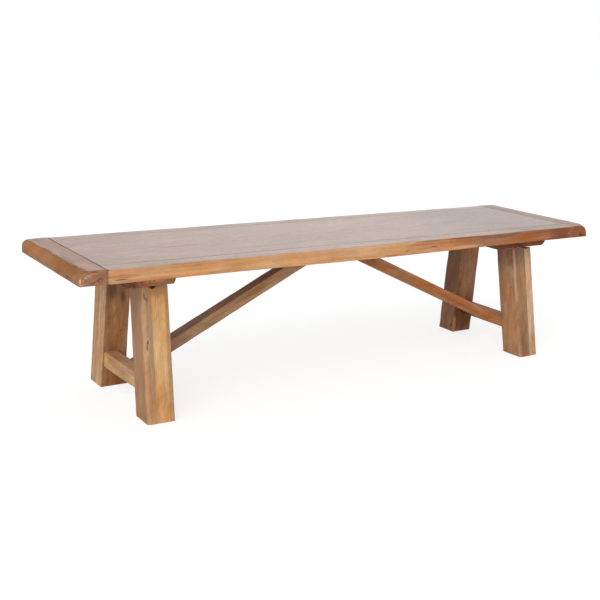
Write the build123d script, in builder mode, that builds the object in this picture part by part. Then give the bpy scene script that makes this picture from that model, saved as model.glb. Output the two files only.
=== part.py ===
from build123d import *
import os
from math import cos, hypot, radians, sin, tan

# Rustic dining bench: a plank seat with breadboard ends on two A-frame trestles, with two
# long braces. X runs along the bench, -Y is its front, Z is up, and the origin lies on the
# floor under the middle of the seat. All sizes are in millimetres.

# Seat
seat_length = 1830.0
seat_width = 484.0
seat_height = 450.0
seat_thickness = 39.0
breadboard_width = 76.0
front_rail_width = 56.0
back_rail_width = 50.0
field_joint_set_forward = 17.0
edge_round = 5.0
lower_edge_ease = 2.5
joint_vee = 1.2
breadboard_round_run = 28.0
breadboard_round_drop = 22.0
breadboard_arris_round = 4.0

# Loose tongues in the seat's joints
tongue_thickness = 10.0
tongue_reach = 12.0
tongue_fit = 0.1
tongue_end_gap = 0.8
tongue_land = 14.0
end_tongue_stop = 30.0

# Place of the trestles: from the seat's ends to the middle of the legs' heads
trestle_overhang = 236.0

# Trestle bearers, the head rails under the seat
bearer_set_out = 4.0
bearer_width = 84.0
bearer_inset = 19.0
bearer_depth = 56.0
bearer_nose_depth = 22.0
bearer_nose_flat = 7.0
bearer_nose_run = 11.0
bearer_ease = 2.0

# Legs, splayed across the bench and leaning towards its middle, the right pair more
leg_width = 76.0
leg_depth = 84.5
leg_foot_inset = 21.5
leg_splay = 8.1
left_leg_lean = 0.8
right_leg_lean = 3.2
leg_outer_chamfer = 8.0
leg_inner_chamfer = 4.0
leg_tenon_width = 38.0
leg_tenon_depth = 42.0
leg_tenon_length = 26.0
bearer_flat_margin = 2.0

# Stretchers, the low rails of the trestles
stretcher_set_out = 12.0
stretcher_width = 41.0
stretcher_height = 41.0
stretcher_centre_height = 95.5
stretcher_ease = 2.0
stretcher_tenon_width = 20.0
stretcher_tenon_height = 27.0
stretcher_tenon_length = 32.0

# Braces, from the stretchers up to the middle of the seat
brace_width = 42.0
brace_cut_height = 40.5
brace_foot_centre_height = 97.3
brace_seat_bearing = 61.0
brace_ease = 2.0
brace_tenon_width = 22.0
brace_tenon_height = 20.0
brace_tenon_length = 18.0

# Play between a tenon and its mortise, and the room left at its end
tenon_fit = 0.15
tenon_end_gap = 0.8

# Seat bolts with washers and threaded inserts
inner_bolt_setback = 34.0
outer_bolt_inset = 23.0
bolt_diameter = 8.0
bolt_length = 30.0
bolt_head_across = 13.0
bolt_head_height = 5.3
bolt_web = 16.5
washer_diameter = 18.0
washer_thickness = 1.6
insert_diameter = 12.0
insert_length = 13.0
counterbore_diameter = 19.0
bolt_hole_play = 1.0
thread_play = 0.1

# Wood screws that hold the braces to the seat
screw_places = (20.0, 46.0)
screw_diameter = 5.0
screw_length = 40.0
screw_head_diameter = 9.6
screw_head_height = 2.8
screw_web = 16.0
screw_recess_diameter = 11.0
screw_play = 0.1

# One overrun for all cuts that pass right through a piece
overrun = 10.0

# Places that follow from the sizes above
seat_bottom = seat_height - seat_thickness
field_end = seat_length / 2 - breadboard_width
seat_front = -seat_width / 2
seat_back = seat_width / 2
front_joint = seat_front + front_rail_width
field_joint = -field_joint_set_forward
back_joint = seat_back - back_rail_width
tongue_level = seat_bottom + seat_thickness / 2
groove_thickness = tongue_thickness + 2 * tongue_fit
groove_reach = tongue_reach + tongue_end_gap
long_tongue_length = 2 * (field_end - groove_reach - tongue_land)
end_tongue_length = seat_width - 2 * end_tongue_stop
head_place = seat_length / 2 - trestle_overhang
leg_foot_reach = seat_width / 2 - leg_foot_inset
bearer_place = head_place + bearer_set_out
bearer_length = seat_width - 2 * bearer_inset
bearer_bottom = seat_bottom - bearer_depth
splay_rate = tan(radians(leg_splay))
leg_foot_centre = leg_foot_reach - leg_depth / cos(radians(leg_splay)) / 2
leg_head_inner = (
    leg_foot_reach - leg_depth / cos(radians(leg_splay)) - bearer_bottom * splay_rate
)
bearer_flat_half = leg_head_inner - bearer_flat_margin
nose_inner = bearer_length / 2 - bearer_nose_run
bearer_rise = (bearer_depth - bearer_nose_depth) / (nose_inner - bearer_flat_half)
brace_foot_top = brace_foot_centre_height + brace_cut_height / 2
bolt_places = (leg_head_inner - inner_bolt_setback, bearer_length / 2 - outer_bolt_inset)
bolt_head_level = seat_bottom - bolt_web - washer_thickness
screw_head_level = seat_bottom - screw_web

# Left is -X, front is -Y
sides = (("left", -1), ("right", 1))
ends = (("front", -1), ("back", 1))


def lean_rate(side):
    """How far a trestle's legs lean towards the middle for each unit of height"""
    return tan(radians(left_leg_lean if side < 0 else right_leg_lean))


def leg_place(side, height):
    """Distance from the bench's middle to the middle of a trestle's legs at a height"""
    return head_place + (bearer_bottom - height) * lean_rate(side)


def stretcher_place(side):
    """Distance from the bench's middle to the middle of a stretcher"""
    return leg_place(side, stretcher_centre_height) + stretcher_set_out


def brace_foot(side):
    """Distance from the bench's middle to a brace's plumb cut on the stretcher"""
    return stretcher_place(side) - stretcher_width / 2


def brace_tip_bottom(side):
    """Level of a brace's lower edge at the butt joint in the middle"""
    rate = (seat_bottom - brace_foot_top) / (brace_foot(side) - brace_seat_bearing)
    return brace_foot_top - brace_cut_height + rate * brace_foot(side)


def leg_plane(side, end):
    """Plane at the middle of a leg's foot, with its Z along the leg"""
    axis = Vector(-side * lean_rate(side), -end * splay_rate, 1).normalized()
    across = Vector(1, 0, 0)
    across = (across - axis * across.dot(axis)).normalized()
    foot = (side * leg_place(side, 0), end * leg_foot_centre, 0)
    return Plane(origin=foot, x_dir=across, z_dir=axis)


def bearer_slope_plane(end):
    """Plane of the bearer's sloped underside over one leg, facing up"""
    run = hypot(1, bearer_rise)
    up = Vector(0, -end * bearer_rise / run, 1 / run)
    return Plane(origin=(0, end * bearer_flat_half, bearer_bottom), x_dir=(1, 0, 0), z_dir=up)


def leg_shoulder_distance(side, end):
    """Distance along the leg from its foot to its shoulder under the bearer"""
    leg = leg_plane(side, end)
    slope = bearer_slope_plane(end)
    return (slope.origin - leg.origin).dot(slope.z_dir) / leg.z_dir.dot(slope.z_dir)


def leg_inner_plane(side, end):
    """Plane of the leg's inner face, facing the middle of the bench"""
    leg = leg_plane(side, end)
    face = leg.origin - leg.y_dir * (end * leg_depth / 2)
    return Plane(origin=face, x_dir=leg.x_dir, z_dir=leg.y_dir * -end)


def stretcher_shoulder(side):
    """Where the stretcher's centre line meets the legs' inner faces"""
    inner = leg_inner_plane(side, 1)
    height = stretcher_centre_height - inner.origin.Z
    across = side * stretcher_place(side) - inner.origin.X
    normal = inner.z_dir
    return inner.origin.Y - (normal.Z * height + normal.X * across) / normal.Y


def cut_long_groove(joint):
    """Groove for a tongue along the bench, in both boards of a joint"""
    with Locations((0, joint, tongue_level)):
        Box(
            long_tongue_length + 2 * tongue_end_gap,
            2 * groove_reach,
            groove_thickness,
            mode=Mode.SUBTRACT,
        )


def cut_end_grooves():
    """Grooves for the two tongues across the bench, at both breadboard joints"""
    with Locations((-field_end, 0, tongue_level), (field_end, 0, tongue_level)):
        Box(
            2 * groove_reach,
            end_tongue_length + 2 * tongue_end_gap,
            groove_thickness,
            mode=Mode.SUBTRACT,
        )


def cut_insert_holes():
    """Blind holes in the seat's underside for the threaded inserts"""
    places = [
        (side * bearer_place, end * place, seat_bottom)
        for _, side in sides
        for _, end in ends
        for place in bolt_places
    ]
    with Locations(*places):
        Cylinder(
            insert_diameter / 2 + thread_play,
            2 * (insert_length + thread_play),
            mode=Mode.SUBTRACT,
        )


def cut_screw_pilots():
    """Pilot holes in the seat's underside for the brace screws"""
    depth = screw_length - screw_web + tenon_end_gap
    places = [(side * place, 0, seat_bottom) for _, side in sides for place in screw_places]
    with Locations(*places):
        Cylinder(screw_diameter / 2 + screw_play, 2 * depth, mode=Mode.SUBTRACT)


# Boards that run along the seat: rails at its edges, planks in its field
boards = (
    ("front_rail", seat_front, front_joint),
    ("field_plank_front", front_joint, field_joint),
    ("field_plank_back", field_joint, back_joint),
    ("back_rail", back_joint, seat_back),
)

os.makedirs("parts", exist_ok=True)

for name, front, back in boards:
    with BuildPart() as board:
        with BuildSketch(Plane.XY.offset(seat_bottom)):
            with Locations((0, (front + back) / 2)):
                Rectangle(2 * field_end, back - front)
        extrude(amount=seat_thickness)
        top_edges = board.faces().sort_by(Axis.Z)[-1].edges()
        chamfer(top_edges.filter_by(Axis.Y), length=joint_vee)
        long_top = board.faces().sort_by(Axis.Z)[-1].edges().filter_by(Axis.X)
        long_bottom = board.faces().sort_by(Axis.Z)[0].edges().filter_by(Axis.X)
        front_top = long_top.sort_by(Axis.Y)[0]
        back_top = long_top.sort_by(Axis.Y)[-1]
        if front == seat_front:
            fillet(front_top, radius=edge_round)
            fillet(long_bottom.sort_by(Axis.Y)[0], radius=lower_edge_ease)
        else:
            chamfer(front_top, length=joint_vee)
        if back == seat_back:
            fillet(back_top, radius=edge_round)
            fillet(long_bottom.sort_by(Axis.Y)[-1], radius=lower_edge_ease)
        else:
            chamfer(back_top, length=joint_vee)
        for joint in (front_joint, field_joint, back_joint):
            cut_long_groove(joint)
        cut_end_grooves()
        cut_insert_holes()
        cut_screw_pilots()
    board.part.label = name
    export_step(board.part, f"parts/{name}.step")

# Breadboard ends, with the outer edge rolled over in a wide elliptical round
for side_name, side in sides:
    with BuildPart() as breadboard:
        with BuildSketch(Plane.XZ):
            with BuildLine():
                outer = side * seat_length / 2
                round_start = seat_height - breadboard_round_drop
                centre = (outer - side * breadboard_round_run, round_start)
                crown = (centre[0], seat_height)
                Line((side * field_end, seat_height), (side * field_end, seat_bottom))
                Line((side * field_end, seat_bottom), (outer, seat_bottom))
                Line((outer, seat_bottom), (outer, round_start))
                EllipticalCenterArc(
                    centre,
                    breadboard_round_run,
                    breadboard_round_drop,
                    start_angle=0 if side > 0 else 90,
                    arc_size=90,
                )
                Line(crown, (side * field_end, seat_height))
            make_face()
        extrude(amount=seat_width / 2, both=True)
        arrises = [
            edge
            for end_face in (
                breadboard.faces().sort_by(Axis.Y)[0],
                breadboard.faces().sort_by(Axis.Y)[-1],
            )
            for edge in end_face.edges()
            if side * edge.center().X > field_end + joint_vee
            and edge.center().Z > seat_bottom + joint_vee
        ]
        fillet(arrises, radius=breadboard_arris_round)
        joint_face = breadboard.faces().sort_by(Axis.X)[0 if side > 0 else -1]
        chamfer(joint_face.edges().sort_by(Axis.Z)[-1], length=joint_vee)
        cut_end_grooves()
    name = f"breadboard_end_{side_name}"
    breadboard.part.label = name
    export_step(breadboard.part, f"parts/{name}.step")

# Loose tongues along the bench
long_tongues = (
    ("front_rail_tongue", front_joint),
    ("field_tongue", field_joint),
    ("back_rail_tongue", back_joint),
)
for name, joint in long_tongues:
    with BuildPart() as tongue:
        with Locations((0, joint, tongue_level)):
            Box(long_tongue_length, 2 * tongue_reach, tongue_thickness)
    tongue.part.label = name
    export_step(tongue.part, f"parts/{name}.step")

# Loose tongues across the bench, in the breadboard joints
for side_name, side in sides:
    with BuildPart() as tongue:
        with Locations((side * field_end, 0, tongue_level)):
            Box(2 * tongue_reach, end_tongue_length, tongue_thickness)
    name = f"breadboard_tongue_{side_name}"
    tongue.part.label = name
    export_step(tongue.part, f"parts/{name}.step")

# Bearers: deep in the middle, with sloped undersides over the legs and blunt noses
for side_name, side in sides:
    with BuildPart() as bearer:
        near = side * bearer_place - bearer_width / 2
        half = bearer_length / 2
        nose_level = seat_bottom - bearer_nose_depth
        outline = [
            (half, seat_bottom),
            (half, seat_bottom - bearer_nose_flat),
            (nose_inner, nose_level),
            (bearer_flat_half, bearer_bottom),
        ]
        outline += [(-across, level) for across, level in reversed(outline)]
        with BuildSketch(Plane.YZ.offset(near)):
            with BuildLine():
                Polyline(*outline, close=True)
            make_face()
        extrude(amount=bearer_width)
        eased = [
            edge
            for face in (bearer.faces().sort_by(Axis.X)[0], bearer.faces().sort_by(Axis.X)[-1])
            for edge in face.edges()
            if edge.center().Z < seat_bottom - bearer_nose_flat / 4
        ]
        chamfer(eased, length=bearer_ease)
        for _, end in ends:
            shoulder = leg_shoulder_distance(side, end)
            mortise_depth = leg_tenon_length + tenon_end_gap
            with BuildSketch(leg_plane(side, end).offset(shoulder - mortise_depth)):
                Rectangle(leg_tenon_width + 2 * tenon_fit, leg_tenon_depth + 2 * tenon_fit)
            extrude(amount=2 * mortise_depth, mode=Mode.SUBTRACT)
        bolt_spots = [
            (side * bearer_place, end * place) for _, end in ends for place in bolt_places
        ]
        with BuildSketch(Plane.XY.offset(bearer_bottom - overrun)):
            with Locations(*bolt_spots):
                Circle((bolt_diameter + bolt_hole_play) / 2)
        extrude(amount=bearer_depth + 2 * overrun, mode=Mode.SUBTRACT)
        with BuildSketch(Plane.XY.offset(seat_bottom - bolt_web)):
            with Locations(*bolt_spots):
                Circle(counterbore_diameter / 2)
        extrude(amount=-bearer_depth, mode=Mode.SUBTRACT)
    name = f"bearer_{side_name}"
    bearer.part.label = name
    export_step(bearer.part, f"parts/{name}.step")

# Legs: cut level at the foot and to the bearer's slope at the head, with a stub tenon
for side_name, side in sides:
    for end_name, end in ends:
        plane = leg_plane(side, end)
        shoulder = leg_shoulder_distance(side, end)
        with BuildPart() as leg:
            with BuildSketch(plane) as section:
                Rectangle(leg_width, leg_depth)
                corners = section.vertices().group_by(Axis.Y)
                inner_first = corners if end > 0 else list(reversed(corners))
                chamfer(inner_first[0], length=leg_inner_chamfer)
                corners = section.vertices().group_by(Axis.Y)
                outer_pair = corners[-1 if end > 0 else 0]
                chamfer(outer_pair, length=leg_outer_chamfer)
            extrude(amount=seat_height, both=True)
            split(bisect_by=Plane.XY, keep=Keep.TOP)
            split(bisect_by=bearer_slope_plane(end), keep=Keep.BOTTOM)
            with BuildSketch(plane.offset(shoulder - leg_tenon_length)):
                Rectangle(leg_tenon_width, leg_tenon_depth)
            extrude(amount=2 * leg_tenon_length)
            with Locations((side * stretcher_place(side), 0, stretcher_centre_height)):
                Box(
                    stretcher_tenon_width + 2 * tenon_fit,
                    2 * (stretcher_shoulder(side) + stretcher_tenon_length + tenon_end_gap),
                    stretcher_tenon_height + 2 * tenon_fit,
                    mode=Mode.SUBTRACT,
                )
        name = f"leg_{side_name}_{end_name}"
        leg.part.label = name
        export_step(leg.part, f"parts/{name}.step")

# Stretchers: square rails shouldered on the splayed legs, with stub tenons and a mortise
for side_name, side in sides:
    with BuildPart() as stretcher:
        with Locations((side * stretcher_place(side), 0, stretcher_centre_height)):
            Box(stretcher_width, 2 * leg_foot_reach, stretcher_height)
        chamfer(stretcher.edges().filter_by(Axis.Y), length=stretcher_ease)
        for _, end in ends:
            split(bisect_by=leg_inner_plane(side, end), keep=Keep.TOP)
        with Locations((side * stretcher_place(side), 0, stretcher_centre_height)):
            Box(
                stretcher_tenon_width,
                2 * (stretcher_shoulder(side) + stretcher_tenon_length),
                stretcher_tenon_height,
            )
        with Locations((side * brace_foot(side), 0, brace_foot_centre_height)):
            Box(
                2 * (brace_tenon_length + tenon_end_gap),
                brace_tenon_width + 2 * tenon_fit,
                brace_tenon_height + 2 * tenon_fit,
                mode=Mode.SUBTRACT,
            )
    name = f"stretcher_{side_name}"
    stretcher.part.label = name
    export_step(stretcher.part, f"parts/{name}.step")

# Braces: plumb cut at the foot, level cut under the seat, butted on each other at the middle
for side_name, side in sides:
    with BuildPart() as brace:
        outline = [
            (side * brace_foot(side), brace_foot_top - brace_cut_height),
            (side * brace_foot(side), brace_foot_top),
            (side * brace_seat_bearing, seat_bottom),
            (0, seat_bottom),
            (0, brace_tip_bottom(side)),
        ]
        with BuildSketch(Plane.XZ):
            with BuildLine():
                Polyline(*outline, close=True)
            make_face()
        extrude(amount=brace_width / 2, both=True)
        chamfer(
            brace.edges().filter_by(lambda edge: edge.length > 2 * brace_width),
            length=brace_ease,
        )
        with Locations((side * brace_foot(side), 0, brace_foot_centre_height)):
            Box(2 * brace_tenon_length, brace_tenon_width, brace_tenon_height)
        screw_spots = [(side * place, 0) for place in screw_places]
        with BuildSketch(Plane.XY.offset(seat_bottom)):
            with Locations(*screw_spots):
                Circle(screw_diameter / 2 + screw_play)
        extrude(amount=-seat_bottom, mode=Mode.SUBTRACT)
        with BuildSketch(Plane.XY.offset(screw_head_level)):
            with Locations(*screw_spots):
                Circle(screw_recess_diameter / 2)
        extrude(amount=-screw_recess_diameter - brace_cut_height, mode=Mode.SUBTRACT)
        with Locations(*[(x, y, screw_head_level) for x, y in screw_spots]):
            Cone(
                screw_head_diameter / 2 + screw_play,
                screw_diameter / 2 + screw_play,
                screw_head_height,
                align=(Align.CENTER, Align.CENTER, Align.MIN),
                mode=Mode.SUBTRACT,
            )
    name = f"brace_{side_name}"
    brace.part.label = name
    export_step(brace.part, f"parts/{name}.step")

# Fasteners: the four seat bolts of each bearer, in one node a kind
bolt_spots = [
    (side * bearer_place, end * place)
    for _, side in sides
    for _, end in ends
    for place in bolt_places
]

with BuildPart() as seat_bolts:
    with BuildSketch(Plane.XY.offset(bolt_head_level)):
        with Locations(*bolt_spots):
            RegularPolygon(bolt_head_across / 2, 6, major_radius=False)
    extrude(amount=-bolt_head_height)
    with BuildSketch(Plane.XY.offset(bolt_head_level)):
        with Locations(*bolt_spots):
            Circle(bolt_diameter / 2)
    extrude(amount=bolt_length)
seat_bolts.part.label = "seat_bolts"
export_step(seat_bolts.part, "parts/seat_bolts.step")

with BuildPart() as washers:
    with BuildSketch(Plane.XY.offset(bolt_head_level)):
        with Locations(*bolt_spots):
            Circle(washer_diameter / 2)
            Circle((bolt_diameter + bolt_hole_play) / 2, mode=Mode.SUBTRACT)
    extrude(amount=washer_thickness)
washers.part.label = "bolt_washers"
export_step(washers.part, "parts/bolt_washers.step")

with BuildPart() as inserts:
    with BuildSketch(Plane.XY.offset(seat_bottom)):
        with Locations(*bolt_spots):
            Circle(insert_diameter / 2)
            Circle(bolt_diameter / 2 + thread_play, mode=Mode.SUBTRACT)
    extrude(amount=insert_length)
inserts.part.label = "threaded_inserts"
export_step(inserts.part, "parts/threaded_inserts.step")

# Countersunk wood screws, up through the braces into the seat
screw_spots = [
    (side * place, 0, screw_head_level) for _, side in sides for place in screw_places
]
with BuildPart() as brace_screws:
    with Locations(*screw_spots):
        Cone(
            screw_head_diameter / 2,
            screw_diameter / 2,
            screw_head_height,
            align=(Align.CENTER, Align.CENTER, Align.MIN),
        )
        Cylinder(
            screw_diameter / 2,
            screw_length,
            align=(Align.CENTER, Align.CENTER, Align.MIN),
        )
brace_screws.part.label = "brace_screws"
export_step(brace_screws.part, "parts/brace_screws.step")
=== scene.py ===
"""Rustic dining bench of lacquered mango wood: hand-worked boards, legs, rails and braces.

Laid out as an add-on and run as a script. Each operator dresses one group of the bench's
pieces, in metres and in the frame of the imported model, and the last one makes the studio.
"""
from dataclasses import dataclass
from math import cos, hypot, pi, radians, sin, tan
from random import Random

import bmesh
import bpy
import numpy as np
from bpy.props import FloatProperty, FloatVectorProperty, PointerProperty
from bpy.types import Operator, Panel, PropertyGroup
from mathutils import Matrix, Vector


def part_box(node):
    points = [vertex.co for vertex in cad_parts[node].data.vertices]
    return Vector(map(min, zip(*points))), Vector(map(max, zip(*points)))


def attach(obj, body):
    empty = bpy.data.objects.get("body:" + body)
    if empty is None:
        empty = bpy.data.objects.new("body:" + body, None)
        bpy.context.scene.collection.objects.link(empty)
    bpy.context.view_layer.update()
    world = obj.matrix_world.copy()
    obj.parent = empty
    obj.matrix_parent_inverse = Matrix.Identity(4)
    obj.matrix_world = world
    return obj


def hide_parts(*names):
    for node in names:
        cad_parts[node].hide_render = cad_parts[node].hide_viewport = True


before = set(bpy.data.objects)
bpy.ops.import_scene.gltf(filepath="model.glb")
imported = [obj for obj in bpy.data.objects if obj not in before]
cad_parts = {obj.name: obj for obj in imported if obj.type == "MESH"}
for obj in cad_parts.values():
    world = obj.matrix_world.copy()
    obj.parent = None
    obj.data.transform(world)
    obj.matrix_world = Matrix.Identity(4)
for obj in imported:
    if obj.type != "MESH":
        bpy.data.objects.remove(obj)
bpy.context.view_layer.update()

bl_info = {
    "name": "Rustic Dining Bench",
    "version": (1, 0, 0),
    "blender": (4, 5, 0),
    "location": "3D View > Sidebar > Bench",
    "description": "Dresses a plank dining bench in hand-worked, lacquered mango wood",
    "category": "Object",
}

MM = 0.001
TURN = 2 * pi
LEFT, RIGHT = -1, 1
FRONT, BACK = -1, 1
LOW, HIGH = -1, 1
SIDES = (("left", LEFT), ("right", RIGHT))
ENDS = (("front", FRONT), ("back", BACK))
# Keeps a division by nought away
TINY = 1e-9
# Edges whose faces meet at a wider angle than this stay hard
SMOOTH_ANGLE = radians(32)
# Lengths of the planing waves, along and across the grain, on level faces and on sides
TOP_WAVES = (310 * MM, 90 * MM)
SIDE_WAVES = (270 * MM, 80 * MM)
# Where the front rail's belly is lowest, from the middle of the bench, and how long it is
BELLY_AT, BELLY_LENGTH = 20 * MM, 450 * MM
# How far the chips in the legs' heads run in from the face
CHIP_DEPTH = 14 * MM
# How close to each other the corners of one bolt or washer lie, and those of one screw
BOLT_REACH, SCREW_REACH = 30 * MM, 12 * MM
# How far a bolt's bore starts below the bearer, and how far a screw's bore rises round its head
BORE_START, HEAD_RISE = 5 * MM, 2 * MM


def linear(code):
    """Linear red, green and blue of an sRGB hex colour such as "c88f55"."""
    shares = [int(code[at : at + 2], 16) / 255 for at in (0, 2, 4)]
    return tuple(s / 12.92 if s <= 0.04045 else ((s + 0.055) / 1.055) ** 2.4 for s in shares)


def length_property(name, description, value):
    """A size in metres that a user may change."""
    return FloatProperty(name=name, description=description, default=value, min=0, unit="LENGTH")


def angle_property(name, description, degrees):
    """An angle that a user may change."""
    return FloatProperty(name=name, description=description, default=radians(degrees), unit="ROTATION")


def colour_property(name, description, code):
    """A colour that a user may change, given as an sRGB hex value."""
    return FloatVectorProperty(
        name=name, description=description, default=linear(code), min=0, max=1, subtype="COLOR"
    )


class BenchSeatSizes(PropertyGroup):
    """Sizes that the seat's hand work left on its boards."""

    front_round: length_property("Front round", "Round along the seat's long edges", 5 * MM)
    lower_ease: length_property("Lower ease", "Round along the seat's lower edges", 2.5 * MM)
    joint_vee: length_property("Joint vee", "Width of the ease on each side of a joint", 1.4 * MM)
    joint_depth: length_property("Joint depth", "Depth of the ease on each side of a joint", 2.6 * MM)
    end_round_run: length_property("End round run", "Width of the rolled outer edge", 28 * MM)
    end_round_drop: length_property("End round drop", "Height of the rolled outer edge", 22 * MM)
    end_corner: length_property("End corner", "Round at the corners of the seat", 4 * MM)
    plane_wave: length_property("Plane wave", "Height of the waves from hand planing", 0.35 * MM)
    belly: length_property("Belly", "How far the front rail hangs lower at mid-length", 3 * MM)


class BenchTrestleSizes(PropertyGroup):
    """Sizes and angles of the trestles and braces."""

    leg_width: length_property("Leg width", "Width of a leg along the bench", 76 * MM)
    leg_depth: length_property("Leg depth", "Depth of a leg across the bench", 84.5 * MM)
    leg_splay: angle_property("Leg splay", "Angle of the legs across the bench", 8.1)
    left_lean: angle_property("Left lean", "Angle of the left legs along the bench", 0.8)
    right_lean: angle_property("Right lean", "Angle of the right legs along the bench", 3.2)
    leg_chamfer: length_property("Leg chamfer", "Chamfer on a leg's outer arrises", 8 * MM)
    leg_inner_chamfer: length_property("Inner chamfer", "Chamfer on a leg's inner arrises", 1.4 * MM)
    leg_wave: length_property("Leg wave", "Unevenness of the legs' faces", 0.9 * MM)
    nose_depth: length_property("Nose depth", "Depth of a bearer at its nose", 22 * MM)
    nose_flat: length_property("Nose flat", "Upright tip of a bearer's nose", 7 * MM)
    nose_run: length_property("Nose run", "Length of the nose's steep underside", 11 * MM)
    flat_half: length_property("Flat half", "Half of a bearer's level underside", 82.6 * MM)
    rail_ease: length_property("Rail ease", "Worn arrises of bearers, stretchers, braces", 2.2 * MM)
    rail_wave: length_property("Rail wave", "Unevenness of the rails' faces", 0.5 * MM)
    stretcher_fall: length_property("Stretcher fall", "Extra depth at the left stretcher's back", 9 * MM)
    brace_cut: length_property("Brace cut", "Height of a brace's plumb cut at its foot", 40.5 * MM)
    brace_foot_level: length_property("Brace foot", "Level of the middle of that cut", 97.3 * MM)
    brace_bearing: length_property("Brace bearing", "Half length of the braces' level cut", 61 * MM)
    bolt_bore: length_property("Bolt bore", "Width of the bores that sink the bolts' heads", 19 * MM)
    screw_bore: length_property("Screw bore", "Width of the bores that sink the screws' heads", 11 * MM)


class BenchColours(PropertyGroup):
    """Colours of the wood under its lacquer, and of the metal and the floor."""

    seat: colour_property("Seat", "Brown stain of the seat's top", "aa8677")
    seat_rail: colour_property("Seat rail", "Thinner stain on the tops of the rails", "b89c8e")
    seat_shade: colour_property("Seat shade", "Thicker stain of the seat's right end", "a68375")
    seat_front: colour_property("Seat front", "Honey front edge of the seat", "cb9462")
    seat_end: colour_property("Seat end", "Worn outer edges of the seat's ends", "936239")
    tan: colour_property("Tan", "Pale brown leg wood", "b48a62")
    brown: colour_property("Brown", "Middle brown leg wood", "9f7450")
    umber: colour_property("Umber", "Dark brown leg wood", "8c6142")
    russet: colour_property("Russet", "Reddish brown of bearers and braces", "8f6043")
    rust: colour_property("Rust", "Orange wood of the right brace and stretcher", "b4733f")
    knot: colour_property("Knot", "Heart of a knot, and open cracks", "3f2718")
    seam: colour_property("Seam", "Dirt and stain down in a joint", "2c1b11")
    tongue: colour_property("Tongue", "Bare wood of the hidden tongues", "c9a172")
    zinc: colour_property("Zinc", "Zinc-plated steel", "b4b6b8")
    insert: colour_property("Insert", "Yellow-passivated steel", "b79a55")
    floor: colour_property("Floor", "Plain pale floor", "ededed")


class BenchStudio(PropertyGroup):
    """Camera, lamp, surroundings and floor."""

    eye: FloatVectorProperty(
        name="Eye", description="Place of the camera", default=(-1.745, -2.5826, 1.0116),
        subtype="TRANSLATION",
    )
    yaw: angle_property("Yaw", "Turn of the view from the bench's depth to its length", 32.397)
    pitch: angle_property("Pitch", "How far the view looks up", -14.214)
    roll: angle_property("Roll", "Turn of the camera about its view", 1.832)
    lens: FloatProperty(name="Lens", description="Focal length in mm", default=59.706)
    sensor: FloatProperty(name="Sensor", description="Width of the sensor in mm", default=36)
    key: FloatProperty(name="Key", description="Strength of the key lamp", default=1.9)
    key_width: angle_property("Key width", "Width of the key lamp as the bench sees it", 55)
    key_from: FloatVectorProperty(
        name="Key from", description="Direction of the key lamp", default=(-0.72, -0.66, 0.52),
        subtype="DIRECTION",
    )
    ambient: FloatProperty(name="Ambient", description="Strength of the studio's light", default=0.58)
    floor_reach: length_property("Floor reach", "How far the floor runs from the bench", 30)


def waver(places, seed, wavelength):
    """Smooth hand-made unevenness, between about -1 and 1, at places along a line in metres."""
    draw = Random(seed)
    octaves = (1.0, 0.57, 0.31)
    total = 0.0
    for octave in octaves:
        stretch = draw.uniform(0.8, 1.25)
        phase = draw.uniform(0, TURN)
        total = total + octave * np.sin(places * TURN / (wavelength * octave * stretch) + phase)
    return total / sum(octaves)


def hump(places, centre, width):
    """A smooth hump of height 1 at a centre, nearly gone one width away."""
    return np.exp(-2 * ((places - centre) / width) ** 2)


@dataclass
class Arris:
    """One long edge of a timber: how far its rounding reaches, how flat and how even it is.

    A power of 2 makes it round and a power of 1 a flat chamfer. Each swell holds the middle, the
    length and the extra share of a stretch where it is fuller.
    """

    across: float
    deep: float
    power: float = 2.0
    waver: float = 0.0
    wavelength: float = 0.12
    swells: tuple = ()

    def reach(self, along, seed):
        """Both reaches at places along the timber."""
        share = 1 + self.waver * waver(along, seed, self.wavelength)
        for centre, width, extra in self.swells:
            share = share + extra * hump(along, centre, width)
        return self.across * share, self.deep * share


@dataclass
class Block:
    """A timber's surface: points, faces, distance to the nearest arris, turn from deep to side."""

    points: np.ndarray
    faces: np.ndarray
    edge: np.ndarray
    turn: np.ndarray


def axis_codes(half, pitch, steps):
    """Shares of the flat part (-1 to 1) and of the rounding (0 to 1) for one axis's grid lines."""
    count = max(2, round(2 * half / pitch))
    flat = np.linspace(-1, 1, count + 1)
    rise = np.linspace(0, 1, steps + 1)[1:]
    low, high = -np.ones(steps), np.ones(steps)
    return np.concatenate([low, flat, high]), np.concatenate([rise[::-1], 0 * flat, rise])


def block_grid(counts):
    """Which points of a grid block lie on its surface, and its outward faces."""
    surface = np.ones(counts, bool)
    surface[1:-1, 1:-1, 1:-1] = False
    ids = -np.ones(counts, int)
    ids[surface] = np.arange(surface.sum())
    faces = []
    for axis in range(3):
        for side in (0, -1):
            sheet = np.take(ids, side, axis=axis)
            corners = [sheet[:-1, :-1], sheet[1:, :-1], sheet[1:, 1:], sheet[:-1, 1:]]
            quads = np.stack(corners, -1).reshape(-1, 4)
            outward = (side == -1) != (axis == 1)
            faces.append(quads if outward else quads[:, ::-1])
    return surface, np.concatenate(faces)


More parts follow.
